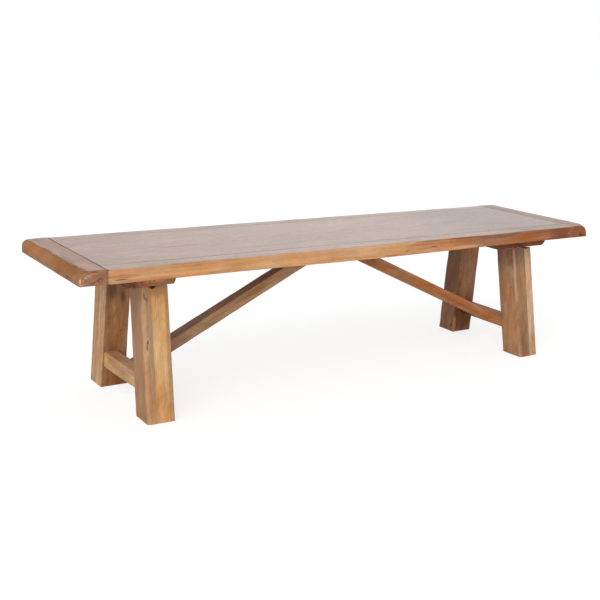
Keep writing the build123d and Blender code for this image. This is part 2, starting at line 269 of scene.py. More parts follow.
def worked_block(half, arrises, end_reach, pitch, steps, seed, wave, end_power=2.0, end_share=(1, 1)):
    """The surface of a timber with worn, uneven arrises.

    half holds the half sizes along the grain, across and deep. arrises maps the signs
    (across, deep) to the Arris of that long edge. end_reach holds the easing of both ends,
    and end_share the shares of it that are left at either side across. pitch holds the mesh's
    spacing on the flat faces, steps its rows round the arrises, and wave the planing's height.
    """
    codes = [axis_codes(half[k], pitch[k], steps[k]) for k in range(3)]
    surface, faces = block_grid([len(flat) for flat, _ in codes])
    index = np.nonzero(surface)
    flat = [codes[k][0][index[k]] for k in range(3)]
    rise = [codes[k][1][index[k]] for k in range(3)]
    along = flat[0] * half[0]

    share_y, share_z = (flat[1] + 1) / 2, (flat[2] + 1) / 2
    reach, power = {}, 0.0
    for (sign_y, sign_z), arris in arrises.items():
        weight = (share_y if sign_y > 0 else 1 - share_y) * (share_z if sign_z > 0 else 1 - share_z)
        reach[sign_y, sign_z] = arris.reach(along, f"{seed}{sign_y}{sign_z}")
        power = power + weight * arris.power
    reach_y = {s: (1 - share_z) * reach[s, LOW][0] + share_z * reach[s, HIGH][0] for s in (-1, 1)}
    reach_z = {s: (1 - share_y) * reach[-1, s][1] + share_y * reach[1, s][1] for s in (-1, 1)}

    largest = np.maximum(rise[1], rise[2])
    norm = np.maximum((rise[1] ** power + rise[2] ** power) ** (1 / power), TINY)
    end_norm = np.maximum((rise[0] ** end_power + largest**end_power) ** (1 / end_power), TINY)
    pull = np.where(largest > 0, largest / end_norm, 1.0)
    end = np.where(rise[0] > 0, rise[0] / end_norm, 0.0)

    share_x = (flat[0] + 1) / 2
    eased = (1 - share_y) * end_share[0] + share_y * end_share[1]
    x, y, z = (
        share * (half[k] - high) - (1 - share) * (half[k] - low) + np.where(share > 0.5, high, -low) * out
        for k, share, low, high, out in (
            (0, share_x, end_reach[0] * eased, end_reach[1] * eased, end),
            (1, share_y, reach_y[-1], reach_y[1], pull * rise[1] / norm),
            (2, share_z, reach_z[-1], reach_z[1], pull * rise[2] / norm),
        )
    )

    # On a face the smallest gap is nought, so the next one leads to the nearest arris
    gaps = np.sort(np.stack([half[0] - abs(x), half[1] - abs(y), half[2] - abs(z)]), axis=0)
    edge = gaps[1]
    # The planing waves die out over the last 4 mm before an arris
    fade = np.clip(edge / (4 * MM), 0, 1)
    for sign, mark in ((LOW, "l"), (HIGH, "h")):
        face = share_z if sign > 0 else 1 - share_z
        hills = waver(x, f"{seed}{mark}x", TOP_WAVES[0]) * waver(y, f"{seed}{mark}y", TOP_WAVES[1])
        z = z - sign * wave * face * fade * (0.5 + 0.5 * hills)
        face = share_y if sign > 0 else 1 - share_y
        hills = waver(x, f"{seed}{mark}u", SIDE_WAVES[0]) * waver(z, f"{seed}{mark}v", SIDE_WAVES[1])
        y = y - sign * wave * face * fade * (0.5 + 0.5 * hills)
    turn = (1 + rise[1] - rise[2]) / 2
    return Block(np.stack([x, y, z], 1), faces, edge, turn)


def timber(name, block, points, grain, wear_reach=4 * MM, **layers):
    """A timber's object, with the attributes that its material reads.

    points are the block's points in the bench's frame, and grain the same points by the
    timber's own axes. wear_reach is how far the wear of the arrises fades into the faces.
    """
    mesh = bpy.data.meshes.new(name)
    mesh.from_pydata(points.tolist(), [], block.faces.tolist())
    wear = np.exp(-block.edge / wear_reach)
    for key, values in {"grain": grain, "arris": wear, "seam": 0 * wear, **layers}.items():
        vector = values.ndim > 1
        layer = mesh.attributes.new(key, "FLOAT_VECTOR" if vector else "FLOAT", "POINT")
        layer.data.foreach_set("vector" if vector else "value", values.astype(np.float32).ravel())
    mesh.polygons.foreach_set("use_smooth", [True] * len(mesh.polygons))
    mesh.set_sharp_from_angle(angle=SMOOTH_ANGLE)
    made = bpy.data.objects.new(name, mesh)
    bpy.context.scene.collection.objects.link(made)
    return made


def crosswise(node):
    """The middle of a node whose grain runs across the bench, and its half sizes by its grain."""
    low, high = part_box(node)
    size = high - low
    return (high + low) / 2, Vector((size.y, size.x, size.z)) / 2


def shells(node, reach):
    """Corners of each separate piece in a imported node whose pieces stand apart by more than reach."""
    found = []
    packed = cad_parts[node]
    for vertex in packed.data.vertices:
        place = packed.matrix_world @ vertex.co
        for low, high in found:
            middle = (low + high) / 2
            if hypot(place.x - middle.x, place.y - middle.y) < reach:
                for axis in range(3):
                    low[axis] = min(low[axis], place[axis])
                    high[axis] = max(high[axis], place[axis])
                break
        else:
            found.append((place.copy(), place.copy()))
    return found


def drill(piece, bores, diameter):
    """Drills upright bores, each given by x, y and its lower and upper levels, out of a piece."""
    shape = bmesh.new()
    for x, y, low, high in bores:
        bmesh.ops.create_cone(
            shape, cap_ends=True, segments=48, radius1=diameter / 2, radius2=diameter / 2,
            depth=high - low, matrix=Matrix.Translation((x, y, (low + high) / 2)),
        )
    mesh = bpy.data.meshes.new("drill")
    shape.to_mesh(mesh)
    shape.free()
    cutter = bpy.data.objects.new("drill", mesh)
    bpy.context.scene.collection.objects.link(cutter)
    cut = piece.modifiers.new("drill", "BOOLEAN")
    cut.operation = "DIFFERENCE"
    cut.solver = "EXACT"
    cut.object = cutter
    evaluated = piece.evaluated_get(bpy.context.evaluated_depsgraph_get())
    drilled = bpy.data.meshes.new_from_object(evaluated)
    piece.modifiers.clear()
    piece.data = drilled
    drilled.set_sharp_from_angle(angle=SMOOTH_ANGLE)
    bpy.data.objects.remove(cutter)


def add(tree, kind, inputs=(), out=0, **settings):
    """Adds a shader node with its settings and inputs, and gives one output, or the node itself."""
    made = tree.nodes.new("ShaderNode" + kind)
    for name, value in settings.items():
        setattr(made, name, value)
    for key, value in dict(inputs).items():
        socket = made.inputs[key]
        if isinstance(value, bpy.types.NodeSocket):
            tree.links.new(value, socket)
        else:
            socket.default_value = value
    return made if out is None else made.outputs[out]


# The colour sockets of a Mix node go by their places, because others have the same names
UNDER, OVER = 6, 7
MIXED = {"out": 2, "data_type": "RGBA"}
SMOOTH = {"interpolation_type": "SMOOTHSTEP"}


def empty_tree(owner):
    """The shader tree of a material or world, without its first nodes."""
    owner.use_nodes = True
    owner.node_tree.nodes.clear()
    return owner.node_tree


def new_group(name, inputs, outputs):
    """An empty node group with float, vector and colour sockets."""
    group = bpy.data.node_groups.new(name, "ShaderNodeTree")
    for way, sockets in (("INPUT", inputs), ("OUTPUT", outputs)):
        for label, kind in sockets.items():
            group.interface.new_socket(label, in_out=way, socket_type=f"NodeSocket{kind}")
    given = group.nodes.new("NodeGroupInput").outputs
    return group, given, group.nodes.new("NodeGroupOutput").inputs


def ragged_spot():
    """A lens-shaped spot in the grain with a ragged border, which may push the rings aside."""
    inputs = {
        "Grain": "Vector", "Centre": "Vector", "Size": "Vector", "Ragged": "Float",
        "Inner": "Float", "Outer": "Float", "Push": "Float",
    }
    group, given, made = new_group("ragged_spot", inputs, {"Mask": "Float", "Push": "Float"})
    # Noise some 45 mm long and 9 mm wide breaks up the border, most of all along the grain
    place = add(group, "VectorMath", {0: given["Grain"], 1: (22, 110, 110)}, operation="MULTIPLY")
    rough = add(group, "TexNoise", {"Vector": place, "Scale": 1.0, "Detail": 3.0}, out="Color")
    rough = add(group, "VectorMath", {0: rough, 1: (0.5, 0.5, 0.5)}, operation="SUBTRACT")
    rough = add(group, "VectorMath", {0: rough, "Scale": given["Ragged"]}, operation="SCALE")
    rough = add(group, "VectorMath", {0: rough, 1: (5, 1, 1)}, operation="MULTIPLY")
    moved = add(group, "VectorMath", {0: given["Grain"], 1: rough}, operation="ADD")
    offset = add(group, "VectorMath", {0: moved, 1: given["Centre"]}, operation="SUBTRACT")
    scaled = add(group, "VectorMath", {0: offset, 1: given["Size"]}, operation="DIVIDE")
    far = add(group, "VectorMath", {0: scaled}, out="Value", operation="LENGTH")
    border = {"Value": far, "From Min": given["Inner"], "From Max": given["Outer"]}
    mask = add(group, "MapRange", {**border, "To Min": 1.0, "To Max": 0.0}, **SMOOTH)
    spread = {"Value": far, "From Max": 4.0, "To Min": 1.0, "To Max": 0.0}
    halo = add(group, "MapRange", spread, interpolation_type="SMOOTHERSTEP")
    push = add(group, "Math", {0: halo, 1: given["Push"]}, operation="MULTIPLY")
    group.links.new(mask, made["Mask"])
    group.links.new(push, made["Push"])
    return group


def mango_grain():
    """Mango wood: growth bands and rings round a pith, streaks, stain patches, fibres and pores."""
    inputs = {
        "Grain": "Vector", "Pith": "Vector", "Seed": "Float", "Push": "Float", "Knot": "Float",
        "Arris": "Float", "Seam": "Float", "End": "Float", "Band": "Float", "Contrast": "Float",
        "Streak": "Float", "Mottle": "Float", "Gloss": "Float",
        "Tone": "Color", "Knot Tone": "Color", "Seam Tone": "Color",
    }
    outputs = {"Colour": "Color", "Height": "Float", "Roughness": "Float"}
    group, given, made = new_group("mango_grain", inputs, outputs)
    grain = given["Grain"]
    # Each timber's seed takes it to a part of the noise that no other timber shows
    shift = add(group, "VectorMath", {0: (1.7, 3.1, 2.3), "Scale": given["Seed"]}, operation="SCALE")
    own = add(group, "VectorMath", {0: grain, 1: shift}, operation="ADD")

    # The trunk's slow bends and the small wobble of the fibres move each point about the pith
    bent = grain
    for per_metre, detail, reach in (((2.3, 7, 7), 1.0, 30 * MM), ((11, 45, 45), 2.0, 6 * MM)):
        place = add(group, "VectorMath", {0: own, 1: per_metre}, operation="MULTIPLY")
        noise = add(group, "TexNoise", {"Vector": place, "Scale": 1.0, "Detail": detail}, out="Color")
        noise = add(group, "VectorMath", {0: noise, 1: (0.5, 0.5, 0.5)}, operation="SUBTRACT")
        noise = add(group, "VectorMath", {0: noise, 1: (0, reach, reach)}, operation="MULTIPLY")
        bent = add(group, "VectorMath", {0: bent, 1: noise}, operation="ADD")
    offset = add(group, "VectorMath", {0: bent, 1: given["Pith"]}, operation="SUBTRACT")
    offset = add(group, "VectorMath", {0: offset, 1: (0, 1, 1)}, operation="MULTIPLY")
    radius = add(group, "VectorMath", {0: offset}, out="Value", operation="LENGTH")
    radius = add(group, "Math", {0: radius, 1: given["Push"]}, operation="ADD")
    along = add(group, "SeparateXYZ", {0: own}, out="X")

    # Growth bands: noise read along the radius, drawn out over some 600 mm of the grain
    by_radius = add(group, "Math", {0: radius, 1: given["Band"]}, operation="DIVIDE")
    by_length = add(group, "Math", {0: along, 1: 1.6}, operation="MULTIPLY")
    place = add(group, "CombineXYZ", {0: by_radius, 1: by_length, 2: given["Seed"]})
    band = add(group, "TexNoise", {"Vector": place, "Scale": 1.0, "Detail": 3.0, "Roughness": 0.55})
    band = add(group, "MapRange", {"Value": band, "From Min": 0.28, "From Max": 0.72})

    # Year rings about 4 mm apart, each ending in a thin dark line
    turns = add(group, "Math", {0: radius, 1: 1 / (4.2 * MM)}, operation="MULTIPLY")
    turns = add(group, "Math", {0: band, 1: 0.8, 2: turns}, operation="MULTIPLY_ADD")
    ring = add(group, "Math", {0: turns}, operation="FRACT")
    ring = add(group, "MapRange", {"Value": ring, "From Min": 0.45, "From Max": 1.0}, **SMOOTH)

    # Dark mineral streaks, some millimetres wide and hand-long
    by_radius = add(group, "Math", {0: radius, 1: 1 / (9 * MM)}, operation="MULTIPLY")
    by_length = add(group, "Math", {0: along, 1: 3.6}, operation="MULTIPLY")
    other = add(group, "Math", {0: given["Seed"], 1: 5.7}, operation="ADD")
    place = add(group, "CombineXYZ", {0: by_radius, 1: by_length, 2: other})
    streak = add(group, "TexNoise", {"Vector": place, "Scale": 1.0, "Detail": 2.5})
    streak = add(group, "MapRange", {"Value": streak, "From Min": 0.54, "From Max": 0.7}, **SMOOTH)
    streak = add(group, "Math", {0: streak, 1: given["Streak"]}, operation="MULTIPLY")

    # Fibres, drawn 2 mm wide so that they show, pores as short dashes, curl across the grain,
    # and broad patches where the wood took more or less stain
    fields = {}
    for name, length, width, tilt, detail in (
        ("fibre", 38, 1.9, 0.0, 2.0), ("pore", 12, 1.1, 0.0, 1.0), ("curl", 24, 12, 0.5, 2.0),
        ("fleck", 14, 4.5, 0.2, 2.0), ("blotch", 95, 21, 0.25, 1.0), ("patch", 200, 52, 0.0, 3.0),
        ("hue", 140, 33, 0.0, 2.0),
    ):
        size = (length * MM, width * MM, width * MM)
        turned = {"Vector": own, "Rotation": (0, tilt, tilt), "Scale": size}
        place = add(group, "Mapping", turned, vector_type="TEXTURE")
        fields[name] = add(group, "TexNoise", {"Vector": place, "Scale": 1.0, "Detail": detail})
    pore = add(group, "MapRange", {"Value": fields["pore"], "From Min": 0.6, "From Max": 0.72})

    # Colour: each band and streak is a darker or lighter share of the wood's tone
    tone = given["Tone"]
    dark, light = (
        add(group, "Mix", {0: 1.0, UNDER: tone, OVER: share}, **MIXED, blend_type="MULTIPLY")
        for share in ((0.55, 0.43, 0.33, 1), (1.22, 1.30, 1.38, 1))
    )
    swing = add(group, "MapRange", {"Value": band, "To Min": -1.0, "To Max": 1.0})
    swing = add(group, "Math", {0: swing, 1: given["Contrast"]}, operation="MULTIPLY")
    down = add(group, "Math", {0: swing, 1: -1.0}, operation="MULTIPLY", use_clamp=True)
    up = add(group, "Math", {0: swing, 1: 1.0}, operation="MULTIPLY", use_clamp=True)
    down = add(group, "Math", {0: down, 1: streak}, operation="MAXIMUM")
    colour = add(group, "Mix", {0: up, UNDER: tone, OVER: light}, **MIXED)
    colour = add(group, "Mix", {0: down, UNDER: colour, OVER: dark}, **MIXED)

    # Lightness and depth of colour
    spread = {"Value": fields["patch"], "From Min": 0.25, "From Max": 0.75, "To Min": 0.87, "To Max": 1.13}
    value = add(group, "MapRange", spread, clamp=False)
    fine = add(group, "Math", {0: given["Mottle"], 1: 0.52}, operation="MULTIPLY")
    for source, middle, share in (
        (ring, 0.3, -0.12), (fields["fibre"], 0.5, 0.3), (fields["blotch"], 0.5, given["Mottle"]),
        (fields["curl"], 0.5, fine), (fields["fleck"], 0.5, fine), (pore, 0.1, -0.2),
        (given["End"], 0.0, -0.22),
    ):
        swing = add(group, "Math", {0: source, 1: middle}, operation="SUBTRACT")
        value = add(group, "Math", {0: swing, 1: share, 2: value}, operation="MULTIPLY_ADD")
    spread = {"Value": fields["hue"], "From Min": 0.3, "From Max": 0.7}
    depth = add(group, "MapRange", {**spread, "To Min": 0.9, "To Max": 1.1})
    hue = add(group, "MapRange", {**spread, "To Min": 0.504, "To Max": 0.497})
    parts = {"Hue": hue, "Saturation": depth, "Value": value, "Color": colour}
    colour = add(group, "HueSaturation", parts)

    # Knots and cracks, worn or darkened arrises, dirt in the joints
    knot, seam = given["Knot"], given["Seam"]
    worn = add(group, "MapRange", {"Value": fields["curl"], "From Min": 0.35, "From Max": 0.65})
    worn = add(group, "Math", {0: worn, 1: given["Arris"]}, operation="MULTIPLY")
    rubbed = add(group, "Math", {0: worn, 1: 0.0}, operation="MAXIMUM")
    grimy = add(group, "Math", {0: worn, 1: -1.0}, operation="MULTIPLY", use_clamp=True)
    for share, over in (
        (knot, given["Knot Tone"]), (rubbed, light), (grimy, dark), (seam, given["Seam Tone"]),
    ):
        colour = add(group, "Mix", {0: share, UNDER: colour, OVER: over}, **MIXED)

    # Relief: fibres and hard bands stand proud, pores and cracks go down
    relief = add(group, "Math", {0: fields["fibre"], 1: 0.4}, operation="MULTIPLY")
    for source, share in ((band, 0.4), (fields["curl"], 0.8), (ring, -0.15), (pore, -0.5), (knot, -1.5)):
        relief = add(group, "Math", {0: source, 1: share, 2: relief}, operation="MULTIPLY_ADD")

    # The lacquer sinks in at end grain, knots and joints
    matt = add(group, "Math", {0: fields["fibre"], 1: 0.2, 2: given["Gloss"]}, operation="MULTIPLY_ADD")
    for source, share in ((given["End"], 0.15), (knot, 0.2), (seam, 0.4), (pore, 0.1)):
        matt = add(group, "Math", {0: source, 1: share, 2: matt}, operation="MULTIPLY_ADD")
    for source, label in ((colour, "Colour"), (relief, "Height"), (matt, "Roughness")):
        group.links.new(source, made[label])
    return group


def group_of(make):
    """The node group that a function makes, made when it is first asked for."""
    return bpy.data.node_groups.get(make.__name__) or make()


@dataclass
class Mark:
    """A zone of another tone: its colour, middle and half lengths in millimetres of the timber's axes.
    Most marks are the wood's own tones; a few are painted shade or painted highlights.
    """

    code: str
    centre: tuple
    size: tuple
    ragged: float = 3.0
    inner: float = 0.6
    outer: float = 1.3


@dataclass
class Knot:
    """A knot or crack: its middle and half lengths, and how far it pushes the rings aside."""

    centre: tuple
    size: tuple
    push: float = 0.0
    ragged: float = 1.5
    strength: float = 0.95


@dataclass
class Figure:
    """What one timber shows: tones, growth about its pith, wear and marks. Lengths are in mm.

    An arris above 0 is rubbed pale and one below 0 is darkened. A timber with an edge_tone has a
    stained top, which gives way to that tone and the marks on its sides, and has its own top_marks.
    """

    tone: str
    seed: float
    pith: tuple
    band: float = 14.0
    contrast: float = 0.75
    streak: float = 0.5
    mottle: float = 0.6
    arris: float = 0.35
    edge_tone: str = ""
    ragged_edge: float = 0.12
    marks: tuple = ()
    top_marks: tuple = ()
    knots: tuple = ()


@dataclass
class Finish:
    """A lacquer: its name, how matt, how much it reflects, and how thick its clear coat is."""

    name: str
    roughness: float
    reflection: float
    coat: float


# From the seat's planks, which shine most, by its rails and ends and the legs, to the bearers
SATIN = Finish("satin", roughness=0.20, reflection=0.5, coat=0.35)
WIPED = Finish("satin", roughness=0.24, reflection=0.5, coat=0.1)
THIN = Finish("thin", roughness=0.28, reflection=0.35, coat=0.0)
FLAT = Finish("flat", roughness=0.42, reflection=0.28, coat=0.0)
DULL = Finish("dull", roughness=0.55, reflection=0.1, coat=0.0)


def lacquered_mango(node, figure, axis, lacquer):
    """Mango wood, planed and eased by hand, stained and lacquered.

    The eye sees warm bands and darker streaks under a soft pale reflection, matt end grain,
    paler wood where the edges were rubbed back, and dark stain where the finish gathered.
    Faces turned towards axis, the direction of the grain in the frame, are end grain.
    """
    colours = bpy.context.scene.bench_colours
    material = bpy.data.materials.new(f"mango_{lacquer.name}_{node}")
    tree = empty_tree(material)
    grain = add(tree, "Attribute", out="Vector", attribute_name="grain")
    arris = add(tree, "Attribute", out="Fac", attribute_name="arris")
    seam = add(tree, "Attribute", out="Fac", attribute_name="seam")

    def spot(centre, size, ragged, inner, outer, push):
        """The outputs of a ragged spot given in millimetres."""
        inputs = {
            "Grain": grain, "Centre": [v * MM for v in centre], "Size": [v * MM for v in size],
            "Ragged": ragged * MM, "Inner": inner, "Outer": outer, "Push": push * MM,
        }
        return add(tree, "Group", inputs, out=None, node_tree=group_of(ragged_spot)).outputs

    def stained(under, mark):
        """The colour under, with a mark's own tone where the mark lies. Most marks are stains in the wood,
        and a few are painted shade or painted highlights.
        """
        mask = spot(mark.centre, mark.size, mark.ragged, mark.inner, mark.outer, 0)["Mask"]
        over = (*linear(mark.code), 1)
        return add(tree, "Mix", {0: mask, UNDER: under, OVER: over}, **MIXED)

    tone = add(tree, "RGB")
    tone.default_value = (*getattr(colours, figure.tone), 1)
    zoned = tone
    if figure.edge_tone:
        zoned = add(tree, "RGB")
        zoned.default_value = (*getattr(colours, figure.edge_tone), 1)
    for mark in figure.marks:
        zoned = stained(zoned, mark)
    for mark in figure.top_marks:
        tone = stained(tone, mark)
    arris = add(tree, "Math", {0: arris, 1: figure.arris}, operation="MULTIPLY")
    gloss = lacquer.roughness
    if figure.edge_tone:
        # The stained top gives way to the rubbed edge along a ragged, darkened line, which noise
        # some 25 mm long and 6 mm wide moves to and fro
        place = add(tree, "VectorMath", {0: grain, 1: (40, 160, 160)}, operation="MULTIPLY")
        rough = add(tree, "TexNoise", {"Vector": place, "Scale": 1.0, "Detail": 3.0})
        rough = add(tree, "Math", {0: rough, 1: 0.5}, operation="SUBTRACT")
        turn = add(tree, "Attribute", out="Fac", attribute_name="turn")
        turn = add(tree, "Math", {0: rough, 1: figure.ragged_edge, 2: turn}, operation="MULTIPLY_ADD")
        spread = {"Value": turn, "From Min": 0.46, "From Max": 0.52}
        mask = add(tree, "MapRange", spread, **SMOOTH)
        zoned = add(tree, "Mix", {0: mask, UNDER: tone, OVER: zoned}, **MIXED)
        gloss = add(tree, "Math", {0: mask, 1: 0.25, 2: gloss}, operation="MULTIPLY_ADD")
        line = add(tree, "Math", {0: turn, 1: 0.48, 2: 0.04}, operation="COMPARE")
        line = add(tree, "Math", {0: line, 1: -1.8}, operation="MULTIPLY")
        arris = add(tree, "Math", {0: arris, 1: line}, operation="ADD")
    push = knotty = 0.0
    for knot in figure.knots:
        found = spot(knot.centre, knot.size, knot.ragged, 0.6, 1.1, knot.push)
        shade = add(tree, "Math", {0: found["Mask"], 1: knot.strength}, operation="MULTIPLY")
        knotty = add(tree, "Math", {0: knotty, 1: shade}, operation="MAXIMUM")
        push = add(tree, "Math", {0: push, 1: found["Push"]}, operation="ADD")
    # End grain begins on faces within 41 degrees of the grain's direction and is full within 14
    facing = add(tree, "NewGeometry", out="Normal")
    end = add(tree, "VectorMath", {0: facing, 1: axis}, out="Value", operation="DOT_PRODUCT")
    end = add(tree, "Math", {0: end}, operation="ABSOLUTE")
    end = add(tree, "MapRange", {"Value": end, "From Min": 0.75, "From Max": 0.97}, **SMOOTH)
    inputs = {
        "Grain": grain, "Pith": (0, figure.pith[0] * MM, figure.pith[1] * MM), "Seed": figure.seed,
        "Push": push, "Knot": knotty, "Arris": arris, "Seam": seam, "End": end,
        "Band": figure.band * MM, "Contrast": figure.contrast, "Streak": figure.streak,
        "Mottle": figure.mottle, "Gloss": gloss, "Tone": zoned,
        "Knot Tone": (*colours.knot, 1), "Seam Tone": (*colours.seam, 1),
    }
    wood = add(tree, "Group", inputs, out=None, node_tree=group_of(mango_grain)).outputs
    relief = add(tree, "Bump", {"Height": wood["Height"], "Strength": 0.6, "Distance": 0.6 * MM})
    inputs = {
        "Base Color": wood["Colour"], "Roughness": wood["Roughness"], "Normal": relief,
        "IOR": 1.5, "Specular IOR Level": lacquer.reflection,
        "Coat Weight": lacquer.coat, "Coat Roughness": 0.22, "Coat IOR": 1.5,
    }
    shader = add(tree, "BsdfPrincipled", inputs)
    add(tree, "OutputMaterial", {"Surface": shader}, out=None)
    return material


def settle(piece, node, material):
    """Gives a piece its finish and puts it in the place of its node."""
    piece.data.materials.clear()
    piece.data.materials.append(material)
    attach(piece, "root")
    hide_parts(node)


# Every mark and knot below lies where this bench's own timber shows it, in its grain's axes. Most are the
# wood's own tones and knots; those noted as such are painted shade or painted highlights.
FRONT_RAIL = Figure(
    "seat_rail", seed=1.3, pith=(-20, -160), band=9, contrast=0.4, streak=0.4, mottle=0.3, arris=0,
    edge_tone="seat_front",
    marks=(
        Mark("cb8a66", (-790, -28, 8.5), (70, 9, 5)),
        Mark("b97c3a", (-800, -28, -1), (55, 9, 5)),
        Mark("c4844e", (-735, -28, -14), (95, 9, 5)),
        Mark("843f1e", (-803, -28, -8.8), (19, 8, 1.7), ragged=1),
        Mark("ba7038", (70, -28, -16), (45, 8, 3.5)),
        Mark("bf8351", (270, -28, 0), (190, 40, 40), ragged=25),
        Mark("9b643c", (470, -28, 0), (200, 40, 40), ragged=25),
        Mark("9e5208", (770, -28, 0), (200, 40, 40), ragged=25, inner=0.7, outer=1.2),
        Mark("ba6c36", (245, -28, 0), (95, 9, 5), inner=0.5),
        Mark("b0683c", (210, -28, 9), (80, 9, 5)),
        Mark("9c5c30", (200, -28, -5), (60, 9, 2), ragged=2, inner=0.3),
        Mark("8f5028", (318, -28, -12), (24, 9, 2.4), ragged=2, inner=0.3),
        Mark("c48a5c", (335, -28, -13), (80, 8, 6)),
        Mark("824f30", (495, -26, 14), (110, 14, 10), ragged=5, inner=0.7, outer=1.15),
        Mark("7d4a2c", (690, -28, 10), (90, 9, 5), ragged=5, inner=0.3),
        Mark("a4602f", (690, -28, -11), (100, 9, 5), ragged=5, inner=0.3),
        Mark("7e3904", (785, -28, 0), (62, 40, 40), ragged=8, inner=0.5, outer=1.2),
        Mark("8a4f2c", (835, -28, 0), (28, 40, 40), ragged=4, inner=0.1, outer=1.2),
        Mark("a06a3c", (817, -28, -3), (6, 6, 3.4), ragged=1),
        Mark("8a5a34", (210, -27, 16), (60, 9, 2), ragged=2, inner=0.3),
        Mark("6f4526", (350, -27, 16), (80, 9, 2.5), ragged=2, inner=0.4),
    ),
    top_marks=(Mark("9c7f6f", (800, 0, 19), (330, 60, 30), ragged=10, inner=0.4),),
    knots=(
        Knot((119, -28, -7), (12, 6, 1.2), ragged=2, strength=0.8),
        Knot((226, -28, -1), (16, 6, 1.3), ragged=2, strength=0.8),
        Knot((290, -28, 8), (10, 6, 1.3), ragged=2, strength=0.7),
    ),
)
# The stain of both planks darkens towards their right end
DARK_END = Mark("88685a", (780, 0, 0), (430, 400, 400), ragged=20, inner=0.3)
FRONT_PLANK = Figure(
    "seat", seed=4.1, pith=(30, -210), band=24, contrast=0.25, streak=0.15, mottle=0.25, arris=0.2,
    marks=(
        DARK_END,
        Mark("735649", (-547, 73, 19), (70, 5, 8), inner=0.3),
        Mark("8d6c5c", (-300, -20, 19), (160, 7, 8), ragged=5, inner=0.2),
    ),
    knots=(Knot((827, -69, 19), (7, 3, 6)),),
)
BACK_PLANK = Figure(
    "seat", seed=7.9, pith=(-50, -240), band=26, contrast=0.25, streak=0.15, mottle=0.25, arris=0.2,
    marks=(DARK_END,),
)
BACK_RAIL = Figure(
    "seat_rail", seed=2.6, pith=(10, -140), contrast=0.3, streak=0.2, mottle=0.3, arris=0,
    edge_tone="seat_front",
)
SEAT_FIGURES = {
    "front_rail": FRONT_RAIL,
    "field_plank_front": FRONT_PLANK,
    "field_plank_back": BACK_PLANK,
    "back_rail": BACK_RAIL,
}


class BENCH_OT_seat_boards(Operator):
    """Two rails and two planks, planed by hand, with vee joints and worn front and back edges"""

    bl_idname = "bench.seat_boards"
    bl_label = "Seat boards"

    def execute(self, context):
        sizes = context.scene.bench_seat
        outer_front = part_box("front_rail")[0].y
        outer_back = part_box("back_rail")[1].y
        vee = Arris(sizes.joint_vee, sizes.joint_depth, power=1.0)
        tight = Arris(0.3 * sizes.joint_vee, 0.3 * sizes.joint_vee, power=1.0)
        # The front rail's upper arris is worn rounder on two stretches
        swells = ((0.49, 0.11, 1.2), (-0.63, 0.05, 0.5))
        front = Arris(sizes.front_round, sizes.front_round, waver=0.35, wavelength=0.35, swells=swells)
        back = Arris(sizes.front_round, sizes.front_round, waver=0.35, wavelength=0.35)
        eased = Arris(sizes.lower_ease, sizes.lower_ease, waver=0.3)
        for node, figure in SEAT_FIGURES.items():
            low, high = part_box(node)
            half = (high - low) / 2
            middle = (high + low) / 2
            arrises = {(side, level): vee for side in (-1, 1) for level in (LOW, HIGH)}
            # The lacquer fills most of the joint between the two planks
            if node == "field_plank_front":
                arrises[1, HIGH] = tight
            if node == "field_plank_back":
                arrises[-1, HIGH] = tight
            if low.y == outer_front:
                arrises[-1, HIGH] = front
                arrises[-1, LOW] = eased
            if high.y == outer_back:
                arrises[1, HIGH] = back
                arrises[1, LOW] = eased
            # The vees at the left and right end, by their share of the joints' own
            shares = (1.6, 0.6) if "plank" in node else (0.9, 0.4)
            ends = [share * sizes.joint_vee for share in shares]
            block = worked_block(
                half, arrises, end_reach=ends, pitch=(7 * MM, 9 * MM, 6 * MM), steps=(2, 5, 5),
                seed=node, wave=sizes.plane_wave, end_power=1.0,
                end_share=(0.3 if node == "front_rail" else 1, 1),
            )
            x, y, z = block.points.T
            joint = (half.x - abs(x)) / np.where(x > 0, *reversed(ends))
            if low.y != outer_front:
                joint = np.minimum(joint, (half.y + y) / sizes.joint_vee)
            if high.y != outer_back:
                joint = np.minimum(joint, (half.y - y) / sizes.joint_vee)
            # Dirt lies down in the joints, and less of it on the boards' sides and at the right end
            depth = np.clip((half.z - z) / (0.4 * sizes.joint_depth), 0, 1)
            seam = (joint < 0.9) * depth * np.where(block.turn > 0.6, 0.15, 1)
            seam = seam * np.where(x > 0.9 * half.x, 0.5, 1)
            outward = np.where(z > 0, block.turn, 1.0)
            world = block.points + np.array(middle)
            if node == "front_rail":
                hang = hump(x, BELLY_AT, BELLY_LENGTH) * (0.5 - y / half.y / 2) * (0.5 - z / half.z / 2)
                world[:, 2] -= sizes.belly * hang
            piece = timber(f"seat_{node}", block, world, block.points, seam=seam, turn=outward)
            finish = WIPED if "rail" in node else SATIN
            settle(piece, node, lacquered_mango(node, figure, (1, 0, 0), finish))
        return {"FINISHED"}


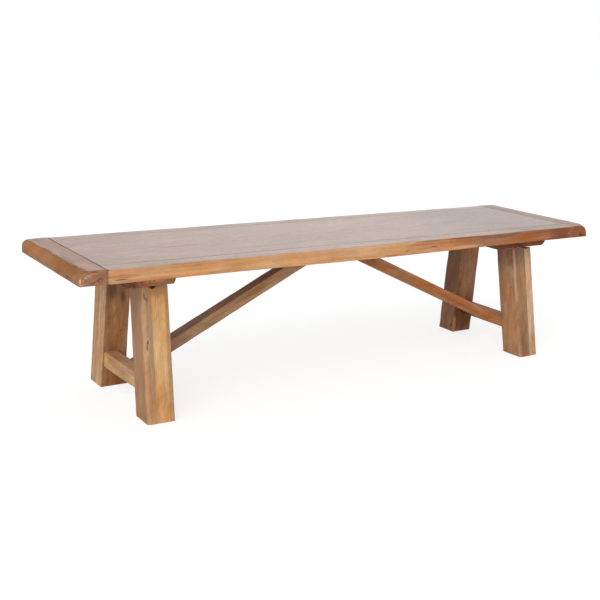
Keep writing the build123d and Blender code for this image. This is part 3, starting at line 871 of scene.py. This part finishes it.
LEFT_BREADBOARD = Figure(
    "seat", seed=3.4, pith=(20, -70), band=15, contrast=0.4, streak=0.3, mottle=0.4, arris=0.1,
    edge_tone="seat_end", ragged_edge=0.28,
    marks=(
        Mark("9a6533", (60, 38, 8), (80, 12, 12), ragged=8),
        Mark("92602c", (-10, 38, 0), (34, 12, 9), ragged=6),
        Mark("8e5937", (-75, 38, -4), (26, 12, 14), ragged=6),
        Mark("aa7454", (-242, 0, 0), (4.5, 60, 40), ragged=0.5),
        Mark("8f6545", (-212, 38, 4), (34, 14, 24), ragged=8, inner=0.3),
        Mark("98673f", (-242, 30, 13), (9, 13, 6), ragged=2),
        Mark("9a6a48", (-240, 34, 6), (9, 6, 9), ragged=2),
        # Painted highlight: these four pale spots draw a light line along the curved arris where the
        # rolled edge meets the front end
        Mark("c79778", (-242, 27, -5), (12, 2.4, 6), ragged=1, inner=0.3),
        Mark("c79778", (-242, 21, 3), (12, 4.4, 3.4), ragged=1, inner=0.3),
        Mark("c79778", (-242, 12, 8.5), (12, 7, 2.4), ragged=1, inner=0.3),
        Mark("c79778", (-242, -2, 12), (12, 10, 2), ragged=1, inner=0.3),
        # Painted highlight down the rounded front corner between the outer face and the front end
        Mark("dbb08c", (-239.5, 35.5, -3), (5, 4, 11), ragged=1),
        Mark("83522f", (-242, -17, -5), (9, 9, 6.5)),
        Mark("a36c4b", (-242, -17.5, -6.5), (8, 4, 3), ragged=1.5),
    ),
    top_marks=(Mark("bd9a88", (-190, -6, 19), (70, 22, 12), ragged=6),),
    knots=(
        Knot((-46, 38, 9), (4, 5, 2.5)),
        Knot((-157, 38, -9), (16, 5, 1.6)),
        Knot((-30, 36, 13), (7, 5, 1.2)),
        Knot((-60, 36, 12), (9, 5, 1.2)),
    ),
)
RIGHT_BREADBOARD = Figure(
    "seat_shade", seed=6.2, pith=(-20, -60), band=15, contrast=0.4, streak=0.3, mottle=0.4, arris=0.1,
    edge_tone="seat_end", ragged_edge=0.2,
    marks=(
        Mark("9b5d39", (-242, 0, 0), (14, 60, 40), ragged=2),
        Mark("95683a", (-242, 18, -6), (14, 10, 7)),
        Mark("5a4028", (-242, 22, -19), (12, 14, 2), ragged=1),
    ),
)


@dataclass
class EndWork:
    """How one breadboard was worked: its joint, front corner and wear, the share of the seat's
    roll on its outer edge and that roll's swells, and how deep and long its front corner wanes.
    """

    figure: Figure
    joint: float
    corner: float
    wear: float
    roll_share: float
    swells: tuple
    wane: tuple = (0, 1)


BREADBOARD_WORK = {
    "left": EndWork(
        LEFT_BREADBOARD, joint=1.6, corner=9 * MM, wear=0.3, roll_share=1,
        swells=((0.242, 0.12, -0.25), (-0.242, 0.09, 0.3)),
    ),
    "right": EndWork(
        RIGHT_BREADBOARD, joint=0.6, corner=4 * MM, wear=-0.12, roll_share=0.46,
        swells=((-0.242, 0.03, 2.3), (0.242, 0.12, -0.5)), wane=(10 * MM, 30 * MM),
    ),
}


class BENCH_OT_breadboard_ends(Operator):
    """Boards across both ends, with the outer edge rolled over in an uneven, waney round"""

    bl_idname = "bench.breadboard_ends"
    bl_label = "Breadboard ends"

    def execute(self, context):
        sizes = context.scene.bench_seat
        eased = Arris(sizes.lower_ease, sizes.lower_ease, waver=0.3)
        for name, side in SIDES:
            node = f"breadboard_end_{name}"
            middle, half = crosswise(node)
            outer = -side
            work = BREADBOARD_WORK[name]
            corner = work.corner
            joint = work.joint * sizes.joint_vee
            vee = Arris(joint, 1.2 * work.joint * sizes.joint_depth, power=1.0)
            run, drop = work.roll_share * sizes.end_round_run, work.roll_share * sizes.end_round_drop
            rolled = Arris(run, drop, waver=0.1, wavelength=0.16, swells=work.swells)
            arrises = {
                (outer, HIGH): rolled, (outer, LOW): eased, (-outer, HIGH): vee, (-outer, LOW): vee,
            }
            block = worked_block(
                half, arrises, end_reach=(corner, sizes.end_corner), pitch=(6 * MM, 6 * MM, 5 * MM),
                steps=(4, 12, 12), seed=node, wave=sizes.plane_wave, end_share=(0.15, 1)[::outer],
            )
            x, y, z = block.points.T
            # Dirt lies down in the joint, with hardly any below and on the board's ends
            depth = np.clip((half.z - z) / (0.4 * sizes.joint_depth), 0, 1)
            inner = half.y + outer * y < 0.9 * joint
            seam = inner * depth * np.where((z > 0) & (half.x - abs(x) > sizes.end_corner), 1.0, 0.08)
            # The rubbed edge shows on the outer side, below and round the corners
            turn = np.where(outer * y > 0, block.turn + work.wear, 0.0)
            turn = np.where(z < 0, 1.0, turn)
            turn = np.maximum(turn, 1 - (half.x - abs(x)) / np.where(x < 0, 2 * corner, sizes.end_corner))
            deepest, length = work.wane
            waned = deepest * hump(x, -half.x, length) * np.clip(outer * y / half.y, 0, 1)
            world = np.stack([middle.x - y - side * waned, middle.y + x, middle.z + z], 1)
            piece = timber(
                f"seat_breadboard_{name}", block, world, block.points, 5 * MM, seam=seam, turn=turn
            )
            settle(piece, node, lacquered_mango(node, work.figure, (0, 1, 0), THIN))
        return {"FINISHED"}


def leg_axes(side_name, end_name, sizes):
    """A leg's foot, and its directions along, across and deep."""
    low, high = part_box(f"leg_{side_name}_{end_name}")
    side, end = dict(SIDES)[side_name], dict(ENDS)[end_name]
    lean = tan(sizes.left_lean if side == LEFT else sizes.right_lean)
    along = Vector((-side * lean, -end * tan(sizes.leg_splay), 1)).normalized()
    across = Vector((1, 0, 0))
    across = (across - along * across.dot(along)).normalized()
    deep = along.cross(across)
    outer_x = low.x if side == LEFT else high.x
    outer_y = low.y if end == FRONT else high.y
    foot_x = outer_x - side * sizes.leg_width / 2
    foot_y = outer_y - end * sizes.leg_depth / cos(sizes.leg_splay) / 2
    return Vector((foot_x, foot_y, 0)), along, across, deep


def bearer_slope(end, sizes):
    """A point and the upward normal of a bearer's sloped underside."""
    low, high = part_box("bearer_left")
    nose = high.y - sizes.nose_run
    rise = (high.z - sizes.nose_depth - low.z) / (nose - sizes.flat_half)
    return Vector((0, end * sizes.flat_half, low.z)), Vector((0, -end * rise, 1)).normalized()


@dataclass
class LegWork:
    """How one leg was worked: its figure, arrises unlike the others, the middle, width and drop of
    a chip under the bearer, how much fuller than drawn it is, and how far and high its foot flares
    to the right.
    """

    figure: Figure
    arrises: tuple = ()
    chip: tuple = ()
    fuller: float = 0
    flare: tuple = (0, 1)


LEG_WORK = {
    "left_front": LegWork(
        Figure(
            "tan", seed=1.9, pith=(-60, 10), band=12, contrast=0.3, streak=0.25, mottle=0.4, arris=0.25,
            marks=(
                Mark("a07552", (190, -42, 16), (900, 7, 62), ragged=2, inner=0.8, outer=1.1),
                # Painted shade: the head of the leg's outer face, under the seat's overhang, drawn darker
                Mark("9a6f4a", (352, -38, 16), (48, 12, 62), ragged=6),
                Mark("b8906f", (300, -26, -42), (80, 13, 12)),
                Mark("ad825b", (100, -27, -42), (90, 9, 8)),
                Mark("d3a46f", (190, 9, -42), (600, 21, 30), ragged=2, inner=0.85, outer=1.1),
                Mark("cd9962", (30, 8, -42), (75, 20, 30), ragged=4, inner=0.8, outer=1.1),
                Mark("b98a5e", (365, 12, -42), (22, 26, 20)),
                Mark("b98c67", (190, 36, -38), (600, 7.5, 30), ragged=1, inner=0.9, outer=1.1),
            ),
            knots=(
                Knot((222, -27, -42), (7, 2.6, 8), push=9, ragged=2, strength=0.8),
                Knot((211, -30, -42), (13, 1.3, 8), push=3, ragged=2, strength=0.75),
                Knot((347, -31, -42), (11, 1.5, 8), ragged=2, strength=0.85),
                Knot((337, -23, -42), (9, 1.3, 8), ragged=2, strength=0.75),
                Knot((341, -27, -42), (5, 3, 6), strength=0.4),
                Knot((95, -28, -42), (20, 1.6, 6), strength=0.4),
                Knot((372, -7, -42), (5, 11, 9), ragged=1),
            ),
        ),
        arrises=(((1, FRONT), Arris(4 * MM, 1 * MM, power=1.2, waver=0.2, wavelength=0.2)),),
        chip=(-6 * MM, 10 * MM, 9 * MM),
        fuller=0.5 * MM,
        flare=(3.4 * MM, 260 * MM),
    ),
    "left_back": LegWork(
        Figure(
            "brown", seed=5.2, pith=(20, 50), band=9, contrast=0.7, streak=0.7, mottle=0.7, arris=0.45,
            marks=(
                Mark("a6764b", (230, 4, -42), (100, 44, 10), ragged=10),
                Mark("98673f", (50, 0, -42), (75, 60, 10), ragged=6),
                Mark("bb9068", (180, -42, 0), (600, 9, 70), ragged=2, inner=0.7, outer=1.1),
                Mark("7a5438", (292, 18, -42), (20, 9, 10), ragged=5, inner=0.2),
                Mark("75533a", (318, -18, -42), (35, 20, 10), ragged=6, inner=0.2),
            ),
            knots=(
                Knot((225, -38, -12), (50, 4, 1.2), strength=0.7),
                Knot((187, 16, -42), (4, 3, 4), strength=0.5),
            ),
        ),
        arrises=(((-1, BACK), Arris(1.5 * MM, 1.5 * MM, waver=0.4)),),
        fuller=0.8 * MM,
        flare=(10 * MM, 60 * MM),
    ),
    "right_front": LegWork(
        Figure(
            "brown", seed=8.4, pith=(-50, 30), band=12, contrast=0.4, streak=0.4, arris=0.3,
            marks=(
                # Painted shade: the head of the leg's face toward the middle of the bench, under the seat,
                # drawn darker
                Mark("8a6148", (366, -38, 10), (70, 14, 60), ragged=8),
                Mark("b58d74", (292, -38, -14), (22, 8, 24), ragged=8, inner=0.4),
                Mark("88644d", (350, 0, -42), (50, 60, 10), ragged=6),
                Mark("976e4d", (120, -8, -42), (110, 32, 8), ragged=8),
                Mark("aa7b57", (170, -38, 0), (150, 10, 34), ragged=6),
                Mark("b98e6e", (300, -38, -38), (95, 6, 6), ragged=2),
                Mark("8c6547", (30, -18, -42), (60, 22, 8), ragged=6, inner=0.2),
                Mark("c7a081", (190, 26, -42), (900, 19, 40), ragged=1.5, inner=0.88, outer=1.06),
                Mark("c2935c", (20, 26, -42), (50, 18, 20)),
            ),
            knots=(
                Knot((241, -38, -16), (5, 4, 4), push=3, strength=0.45),
                Knot((371, 20, -42), (4, 13, 8), ragged=1),
            ),
        ),
        arrises=(((1, FRONT), Arris(28 * MM, 2.4 * MM, power=1.02, waver=0.08, wavelength=0.3)),),
        chip=(20 * MM, 18 * MM, 6 * MM),
        fuller=0.8 * MM,
    ),
    "right_back": LegWork(
        Figure(
            "umber", seed=3.3, pith=(30, 40), band=12, contrast=0.45, streak=0.4, arris=0.2,
            marks=(
                # Partly the leg's dark wood and partly painted shade: these two darken the upper half of
                # the leg's face toward the middle of the bench, under the seat
                Mark("7c4c32", (240, -38, 18), (120, 8, 26), ragged=6),
                Mark("77552f", (245, -38, -18), (90, 8, 18), ragged=6),
                Mark("a06f4c", (270, 0, -44), (130, 60, 14), ragged=6),
                Mark("6e4727", (70, 0, -44), (60, 60, 14), ragged=6),
                Mark("9b7452", (248, -34, -42), (22, 6, 6)),
                Mark("a07852", (38, -36, -40), (34, 8, 8), ragged=2),
            ),
            knots=(Knot((31, -38, -28), (9, 4, 7), push=5, strength=0.6),),
        ),
        arrises=(((-1, BACK), Arris(5 * MM, 5 * MM, power=1.25, waver=0.3)),),
        flare=(6 * MM, 200 * MM),
    ),
}


class BENCH_OT_legs(Operator):
    """Four splayed legs, cut level at the foot and to the bearer's slope at the head"""

    bl_idname = "bench.legs"
    bl_label = "Legs"

    def execute(self, context):
        sizes = context.scene.bench_trestle
        for side_name, _ in SIDES:
            for end_name, end in ENDS:
                name = f"{side_name}_{end_name}"
                work = LEG_WORK[name]
                foot, along, across, deep = leg_axes(side_name, end_name, sizes)
                slope_at, slope_up = bearer_slope(end, sizes)
                outer = Arris(sizes.leg_chamfer, sizes.leg_chamfer, power=1.25, waver=0.25)
                inner = Arris(sizes.leg_inner_chamfer, sizes.leg_inner_chamfer, power=1.4, waver=0.4)
                arrises = {(s, end): outer for s in (-1, 1)} | {(s, -end): inner for s in (-1, 1)}
                arrises.update(work.arrises)
                length = (slope_at - foot).dot(slope_up) / along.dot(slope_up)
                half = Vector((length, sizes.leg_width, sizes.leg_depth)) / 2
                block = worked_block(
                    half, arrises, end_reach=(0.7 * MM, 1.5 * MM), pitch=(5 * MM, 5 * MM, 6 * MM),
                    steps=(2, 4, 4), seed=name, wave=sizes.leg_wave,
                )
                x, y, z = block.points.T
                flare, height = work.flare
                right = 0.5 + y / sizes.leg_width
                y = y + work.fuller * (2 * right - 1) + flare * right * hump(x + half.x, 0, 1.4 * height)
                # Each line along the leg runs from the floor up to the bearer's sloped underside
                base = np.array(foot) + np.outer(y, across) + np.outer(z, deep)
                start = -base[:, 2] / along.z
                stop = (np.array(slope_at) - base) @ np.array(slope_up) / along.dot(slope_up)
                share = (x + half.x) / (2 * half.x)
                if work.chip:
                    middle, width, drop = work.chip
                    face = np.clip(1 - (z + half.z) / CHIP_DEPTH, 0, 1)
                    stop = stop - drop * face * (share > 0.97) * hump(y, middle, width)
                run = start + share * (stop - start)
                world = base + np.outer(run, along)
                piece = timber(f"trestle_leg_{name}", block, world, np.stack([run, y, z], 1))
                node = f"leg_{name}"
                settle(piece, node, lacquered_mango(node, work.figure, along, FLAT))
        return {"FINISHED"}


RAIL_FIGURES = {
    "bearer_left": Figure(
        "brown", seed=2.2, pith=(20, -50), contrast=0.4, arris=-0.7,
        marks=(
            Mark("a26846", (-170, 30, 0), (50, 50, 60), ragged=4),
            # Painted shade: these two darken the bearer's outer face under the seat, where the seat's
            # shadow falls
            Mark("7a482c", (-120, 30, 0), (36, 50, 60), ragged=4),
            Mark("6a4026", (-35, 30, 0), (66, 50, 60), ragged=4),
            Mark("bb6c36", (-213, 42, 14), (15, 10, 9)),
            Mark("8c5238", (-188, 42, 14), (10, 10, 9)),
            Mark("f0a072", (-235, 20, 20), (14, 60, 20), ragged=4),
        ),
    ),
    "bearer_right": Figure(
        "russet", seed=6.6, pith=(10, -60), contrast=0.4, arris=-0.3,
        marks=(Mark("8a5034", (-200, 0, 0), (70, 60, 60), ragged=6),),
    ),
    "stretcher_left": Figure(
        "tan", seed=4.5, pith=(10, -40), contrast=0.6,
        marks=(
            Mark("af8358", (0, 21, -4), (400, 7, 21), ragged=2),
            Mark("bf9560", (-100, 21, -4), (60, 7, 14)),
            Mark("c79f5e", (120, 21, 4), (30, 7, 12)),
            Mark("c59572", (0, 0, 21), (300, 21, 6), ragged=2),
        ),
    ),
    "stretcher_right": Figure(
        "rust", seed=9.1, pith=(20, -30), contrast=0.5, arris=0.2,
        # Painted shade on the stretcher's side toward the middle of the bench, under the brace's foot
        marks=(Mark("5e3d26", (110, 21, -6), (75, 20, 24)),),
    ),
    "brace_left": Figure(
        "brown", seed=1.1, pith=(10, -60), contrast=0.55, arris=0.25,
        marks=(
            Mark("ad8361", (400, -21, 0), (900, 8, 24), ragged=2),
            # Painted shade: the brace's upper face, which lies under the seat, drawn darker
            Mark("8b674c", (400, 0, 21), (900, 40, 4), ragged=1),
            Mark("a98a5c", (255, -21, 0), (24, 6, 9), ragged=1.5),
            Mark("a88a60", (315, -21, -2), (22, 6, 8), ragged=1.5),
            Mark("a67750", (430, -21, 2), (45, 6, 9)),
        ),
    ),
    "brace_right": Figure(
        "rust", seed=7.3, pith=(10, -50), contrast=0.5, arris=0.2,
        marks=(
            Mark("b4784b", (400, 21, 0), (900, 8, 40), ragged=2),
            Mark("aa6a42", (160, 21, 0), (110, 8, 12), ragged=6),
            Mark("a4683f", (600, 21, 0), (40, 8, 20)),
        ),
    ),
}


def rail_block(node, half, pitch, sizes):
    """The surface of a stretcher or brace: all four arrises worn and both ends sharp."""
    worn = Arris(sizes.rail_ease, sizes.rail_ease, power=1.6, waver=0.35)
    arrises = {(side, level): worn for side in (-1, 1) for level in (LOW, HIGH)}
    sharp = (0.3 * MM, 0.3 * MM)
    return worked_block(half, arrises, sharp, pitch, steps=(1, 3, 3), seed=node, wave=sizes.rail_wave)


class BENCH_OT_bearers(Operator):
    """Head rails under the seat, deep in the middle and blunt-nosed, with sunk bores for bolts"""

    bl_idname = "bench.bearers"
    bl_label = "Bearers"

    def execute(self, context):
        sizes = context.scene.bench_trestle
        bolts = shells("seat_bolts", BOLT_REACH)
        washers = shells("bolt_washers", BOLT_REACH)
        for name, side in SIDES:
            node = f"bearer_{name}"
            low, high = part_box(node)
            middle, half = crosswise(node)
            worn = Arris(sizes.rail_ease, sizes.rail_ease, power=1.6, waver=0.3)
            top = Arris(1 * MM, 1 * MM)
            arrises = {(s, LOW): worn for s in (-1, 1)} | {(s, HIGH): top for s in (-1, 1)}
            block = worked_block(
                half, arrises, end_reach=(1.5 * MM, 1.5 * MM), pitch=(4 * MM, 7 * MM, 6 * MM),
                steps=(2, 3, 3), seed=node, wave=sizes.rail_wave,
            )
            x, y, z = block.points.T
            # Below are a level middle, a long slope over the legs on each side, and a steep nose
            full = 2 * half.z
            reach = [0, sizes.flat_half, half.x - sizes.nose_run, half.x]
            depth = np.interp(abs(x), reach, [full, full, sizes.nose_depth, sizes.nose_flat])
            level = high.z - (half.z - z) / full * depth
            world = np.stack([middle.x - y, middle.y + x, level], 1)
            piece = timber(f"trestle_{node}", block, world, np.stack([x, y, level - middle.z], 1))
            # Each bore runs up to its bolt's washer
            bores = []
            for bolt_low, bolt_high in bolts:
                middle_x, middle_y = (bolt_low.x + bolt_high.x) / 2, (bolt_low.y + bolt_high.y) / 2
                if middle_x * side > 0:
                    bores.append((middle_x, middle_y, low.z - BORE_START, washers[0][1].z))
            drill(piece, bores, sizes.bolt_bore)
            settle(piece, node, lacquered_mango(node, RAIL_FIGURES[node], (0, 1, 0), DULL))
        return {"FINISHED"}


class BENCH_OT_stretchers(Operator):
    """Low rails between the legs of each trestle"""

    bl_idname = "bench.stretchers"
    bl_label = "Stretchers"

    def execute(self, context):
        sizes = context.scene.bench_trestle
        for name, _ in SIDES:
            node = f"stretcher_{name}"
            middle, half = crosswise(node)
            block = rail_block(node, half, (7 * MM, 5 * MM, 5 * MM), sizes)
            x, y, z = block.points.T
            if name == "left":
                # Its underside falls towards the back leg, and its top rises towards the front one
                long, full = 2 * half.x, 2 * half.z
                z = z - sizes.stretcher_fall * (0.5 - z / full) * (0.5 + x / long) ** 0.7
                z = z + sizes.stretcher_fall / 3 * (0.5 + z / full) * (0.5 - x / long)
            # Its ends lie on the legs' inner faces
            foot, _, _, deep = leg_axes(name, "back", sizes)
            face = foot - deep * sizes.leg_depth / 2
            rail_x, rail_z = middle.x - y, middle.z + z
            shoulder = face.y - (deep.z * (rail_z - face.z) + deep.x * (rail_x - face.x)) / deep.y
            rail_y = x / half.x * shoulder
            world = np.stack([rail_x, rail_y, rail_z], 1)
            piece = timber(f"trestle_{node}", block, world, np.stack([rail_y, y, z], 1), 3 * MM)
            settle(piece, node, lacquered_mango(node, RAIL_FIGURES[node], (0, 1, 0), FLAT))
        return {"FINISHED"}


class BENCH_OT_braces(Operator):
    """Long braces from the stretchers up to the middle of the seat, with sunk bores for screws"""

    bl_idname = "bench.braces"
    bl_label = "Braces"

    def execute(self, context):
        sizes = context.scene.bench_trestle
        screws = shells("brace_screws", SCREW_REACH)
        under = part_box("front_rail")[0].z
        for name, side in SIDES:
            node = f"brace_{name}"
            low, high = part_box(node)
            stretcher_low, stretcher_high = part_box(f"stretcher_{name}")
            foot = min(abs(stretcher_low.x), abs(stretcher_high.x))
            foot_top = sizes.brace_foot_level + sizes.brace_cut / 2
            slope = (under - foot_top) / (foot - sizes.brace_bearing)
            fall, rise = 1 / hypot(1, slope), slope / hypot(1, slope)
            half = Vector((foot / fall, high.y - low.y, sizes.brace_cut * fall)) / 2
            block = rail_block(node, half, (7 * MM, 5 * MM, 3 * MM), sizes)
            x, y, z = block.points.T
            # Each line along the brace runs from the stretcher's face to the level cut under the
            # seat, or to the plumb cut at the middle of the bench
            start = z * rise / fall
            level_cut = (under - sizes.brace_foot_level - z * fall) / rise
            plumb_cut = (foot + z * rise) / fall
            stop = np.minimum(level_cut, plumb_cut)
            run = start + (x + half.x) / (2 * half.x) * (stop - start)
            world = np.stack([
                side * (foot - run * fall + z * rise), -side * y,
                sizes.brace_foot_level + run * rise + z * fall,
            ], 1)
            piece = timber(f"bench_{node}", block, world, np.stack([run, y, z], 1), 3 * MM)
            # Each bore takes in its screw's head
            bores = []
            for screw_low, screw_high in screws:
                middle_x = (screw_low.x + screw_high.x) / 2
                if middle_x * side > 0:
                    bores.append((middle_x, 0, low.z, screw_low.z + HEAD_RISE))
            drill(piece, bores, sizes.screw_bore)
            axis = (-side * fall, 0, rise)
            settle(piece, node, lacquered_mango(node, RAIL_FIGURES[node], axis, FLAT))
        return {"FINISHED"}


def plated_steel(name, colour, roughness):
    """Steel fasteners plated in a barrel.

    The eye sees a soft grey or yellow gloss, dulled in small patches, with fine tumbling marks.
    """
    material = bpy.data.materials.new(name)
    tree = empty_tree(material)
    place = add(tree, "TexCoord", out="Object")
    # Marks about 1 mm apart, coarser than the real ones so that they show
    marks = add(tree, "TexNoise", {"Vector": place, "Scale": 900.0, "Detail": 3.0})
    spread = {"Value": marks, "From Min": 0.3, "From Max": 0.7}
    matt = add(tree, "MapRange", {**spread, "To Min": roughness - 0.08, "To Max": roughness + 0.12})
    dull = tuple(0.7 * share for share in colour)
    tone = add(tree, "Mix", {0: marks, UNDER: (*colour, 1), OVER: (*dull, 1)}, **MIXED)
    relief = add(tree, "Bump", {"Height": marks, "Strength": 0.3, "Distance": 0.05 * MM})
    inputs = {"Base Color": tone, "Metallic": 1.0, "Roughness": matt, "Normal": relief}
    shader = add(tree, "BsdfPrincipled", inputs)
    add(tree, "OutputMaterial", {"Surface": shader}, out=None)
    return material


def bare_hardwood(colour):
    """Machined hardwood without a finish, as loose tongues have it: pale, dry and faintly lined."""
    material = bpy.data.materials.new("bare_machined_hardwood")
    tree = empty_tree(material)
    place = add(tree, "TexCoord", out="Object")
    # Fibres drawn some 17 mm long and 2 mm apart, coarser than the real ones so that they show
    place = add(tree, "VectorMath", {0: place, 1: (60, 60, 500)}, operation="MULTIPLY")
    fibre = add(tree, "TexNoise", {"Vector": place, "Scale": 1.0, "Detail": 3.0})
    dark = tuple(0.6 * share for share in colour)
    tone = add(tree, "Mix", {0: fibre, UNDER: (*colour, 1), OVER: (*dark, 1)}, **MIXED)
    relief = add(tree, "Bump", {"Height": fibre, "Strength": 0.4, "Distance": 0.2 * MM})
    shader = add(tree, "BsdfPrincipled", {"Base Color": tone, "Roughness": 0.7, "Normal": relief})
    add(tree, "OutputMaterial", {"Surface": shader}, out=None)
    return material


class BENCH_OT_hidden_parts(Operator):
    """Finishes of the bolts, washers, inserts, screws and loose tongues"""

    bl_idname = "bench.hidden_parts"
    bl_label = "Fasteners and tongues"

    def execute(self, context):
        colours = context.scene.bench_colours
        zinc = plated_steel("zinc_plated_steel", colours.zinc, 0.38)
        yellow = plated_steel("yellow_passivated_steel", colours.insert, 0.35)
        bare = bare_hardwood(colours.tongue)
        finishes = {node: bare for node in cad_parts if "tongue" in node}
        finishes.update(
            seat_bolts=zinc, bolt_washers=zinc, brace_screws=zinc, threaded_inserts=yellow
        )
        for node, material in finishes.items():
            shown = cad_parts[node]
            shown.data.materials.clear()
            shown.data.materials.append(material)
        return {"FINISHED"}


def studio_floor(colour):
    """Matt painted floor: rays from the camera see it nearly white, but darker in shadow."""
    material = bpy.data.materials.new("matt_painted_floor")
    tree = empty_tree(material)
    seen = add(tree, "LightPath", out="Is Camera Ray")
    # The camera sees it dimmed and glowing, so it stays near white and its shadows stay soft
    dim = tuple(0.4 * share for share in colour)
    tone = add(tree, "Mix", {0: seen, UNDER: (*colour, 1), OVER: (*dim, 1)}, **MIXED)
    lift = add(tree, "Math", {0: seen, 1: 0.75}, operation="MULTIPLY")
    inputs = {
        "Base Color": tone, "Roughness": 0.9, "Specular IOR Level": 0.2,
        "Emission Color": (1, 1, 1, 1), "Emission Strength": lift,
    }
    shader = add(tree, "BsdfPrincipled", inputs)
    add(tree, "OutputMaterial", {"Surface": shader}, out=None)
    return material


def studio_light(ambient):
    """White surroundings, dimmer for glossy surfaces on the side away from the lit wall."""
    world = bpy.data.worlds.new("studio_light")
    tree = empty_tree(world)
    path = add(tree, "LightPath", out=None).outputs
    toward = add(tree, "TexCoord", out="Generated")
    lit = add(tree, "VectorMath", {0: toward, 1: (0.82, 0.57, 0)}, out="Value", operation="DOT_PRODUCT")
    spread = {"Value": lit, "From Min": 0.6, "From Max": 0.93, "To Min": 0.6, "To Max": 1.0}
    lit = add(tree, "MapRange", spread, **SMOOTH)
    rays = {0: path["Is Glossy Ray"], 1: path["Is Transmission Ray"]}
    shiny = add(tree, "Math", rays, operation="MAXIMUM")
    strength = add(tree, "Mix", {0: shiny, "A": ambient, "B": lit}, data_type="FLOAT")
    strength = add(tree, "Mix", {0: path["Is Camera Ray"], "A": strength, "B": 1.0}, data_type="FLOAT")
    sky = add(tree, "Background", {"Color": (1, 1, 1, 1), "Strength": strength})
    add(tree, "OutputWorld", {"Surface": sky}, out=None)
    return world


class BENCH_OT_studio(Operator):
    """Pale floor, white surroundings, one soft lamp and the camera"""

    bl_idname = "bench.studio"
    bl_label = "Studio"

    def execute(self, context):
        studio = context.scene.bench_studio
        scene = context.scene
        scene.view_settings.view_transform = "Standard"

        shape = bmesh.new()
        bmesh.ops.create_grid(shape, x_segments=8, y_segments=8, size=studio.floor_reach)
        mesh = bpy.data.meshes.new("studio_floor")
        shape.to_mesh(mesh)
        shape.free()
        mesh.materials.append(studio_floor(scene.bench_colours.floor))
        floor = bpy.data.objects.new("studio_floor", mesh)
        scene.collection.objects.link(floor)
        scene.world = studio_light(studio.ambient)

        lamp = bpy.data.lights.new("key_lamp", "SUN")
        lamp.energy = studio.key
        lamp.angle = studio.key_width
        key = bpy.data.objects.new("key_lamp", lamp)
        key.rotation_euler = Vector(studio.key_from).to_track_quat("Z", "Y").to_euler()
        scene.collection.objects.link(key)

        camera = bpy.data.objects.new("camera", bpy.data.cameras.new("camera"))
        camera.data.sensor_width = studio.sensor
        camera.data.lens = studio.lens
        forward = Vector((
            sin(studio.yaw) * cos(studio.pitch), cos(studio.yaw) * cos(studio.pitch), sin(studio.pitch),
        ))
        level = forward.cross(Vector((0, 0, 1))).normalized()
        upright = level.cross(forward)
        across = level * cos(studio.roll) + upright * sin(studio.roll)
        up = upright * cos(studio.roll) - level * sin(studio.roll)
        turn = Matrix((across, up, -forward)).transposed()
        camera.matrix_world = Matrix.Translation(studio.eye) @ turn.to_4x4()
        scene.collection.objects.link(camera)
        scene.camera = camera
        return {"FINISHED"}


OPERATORS = (
    BENCH_OT_seat_boards,
    BENCH_OT_breadboard_ends,
    BENCH_OT_bearers,
    BENCH_OT_legs,
    BENCH_OT_stretchers,
    BENCH_OT_braces,
    BENCH_OT_hidden_parts,
    BENCH_OT_studio,
)
SETTINGS = (
    ("bench_seat", BenchSeatSizes),
    ("bench_trestle", BenchTrestleSizes),
    ("bench_colours", BenchColours),
    ("bench_studio", BenchStudio),
)


class BENCH_PT_panel(Panel):
    """The bench's pieces and their settings."""

    bl_idname = "BENCH_PT_panel"
    bl_label = "Rustic Dining Bench"
    bl_space_type = "VIEW_3D"
    bl_region_type = "UI"
    bl_category = "Bench"

    def draw(self, context):
        for operator in OPERATORS:
            self.layout.operator(operator.bl_idname)
        for name, settings in SETTINGS:
            box = self.layout.box()
            for key in settings.__annotations__:
                box.prop(getattr(context.scene, name), key)


def register():
    """Adds the settings, the operators and the panel."""
    for name, settings in SETTINGS:
        bpy.utils.register_class(settings)
        setattr(bpy.types.Scene, name, PointerProperty(type=settings))
    for kind in (*OPERATORS, BENCH_PT_panel):
        bpy.utils.register_class(kind)


def unregister():
    """Takes the panel, the operators and the settings away."""
    for kind in reversed((*OPERATORS, BENCH_PT_panel)):
        bpy.utils.unregister_class(kind)
    for name, settings in reversed(SETTINGS):
        delattr(bpy.types.Scene, name)
        bpy.utils.unregister_class(settings)


def main():
    """Registers the classes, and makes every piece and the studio."""
    register()
    bpy.ops.bench.seat_boards()
    bpy.ops.bench.breadboard_ends()
    bpy.ops.bench.bearers()
    bpy.ops.bench.legs()
    bpy.ops.bench.stretchers()
    bpy.ops.bench.braces()
    bpy.ops.bench.hidden_parts()
    bpy.ops.bench.studio()


if __name__ == "__main__":
    main()
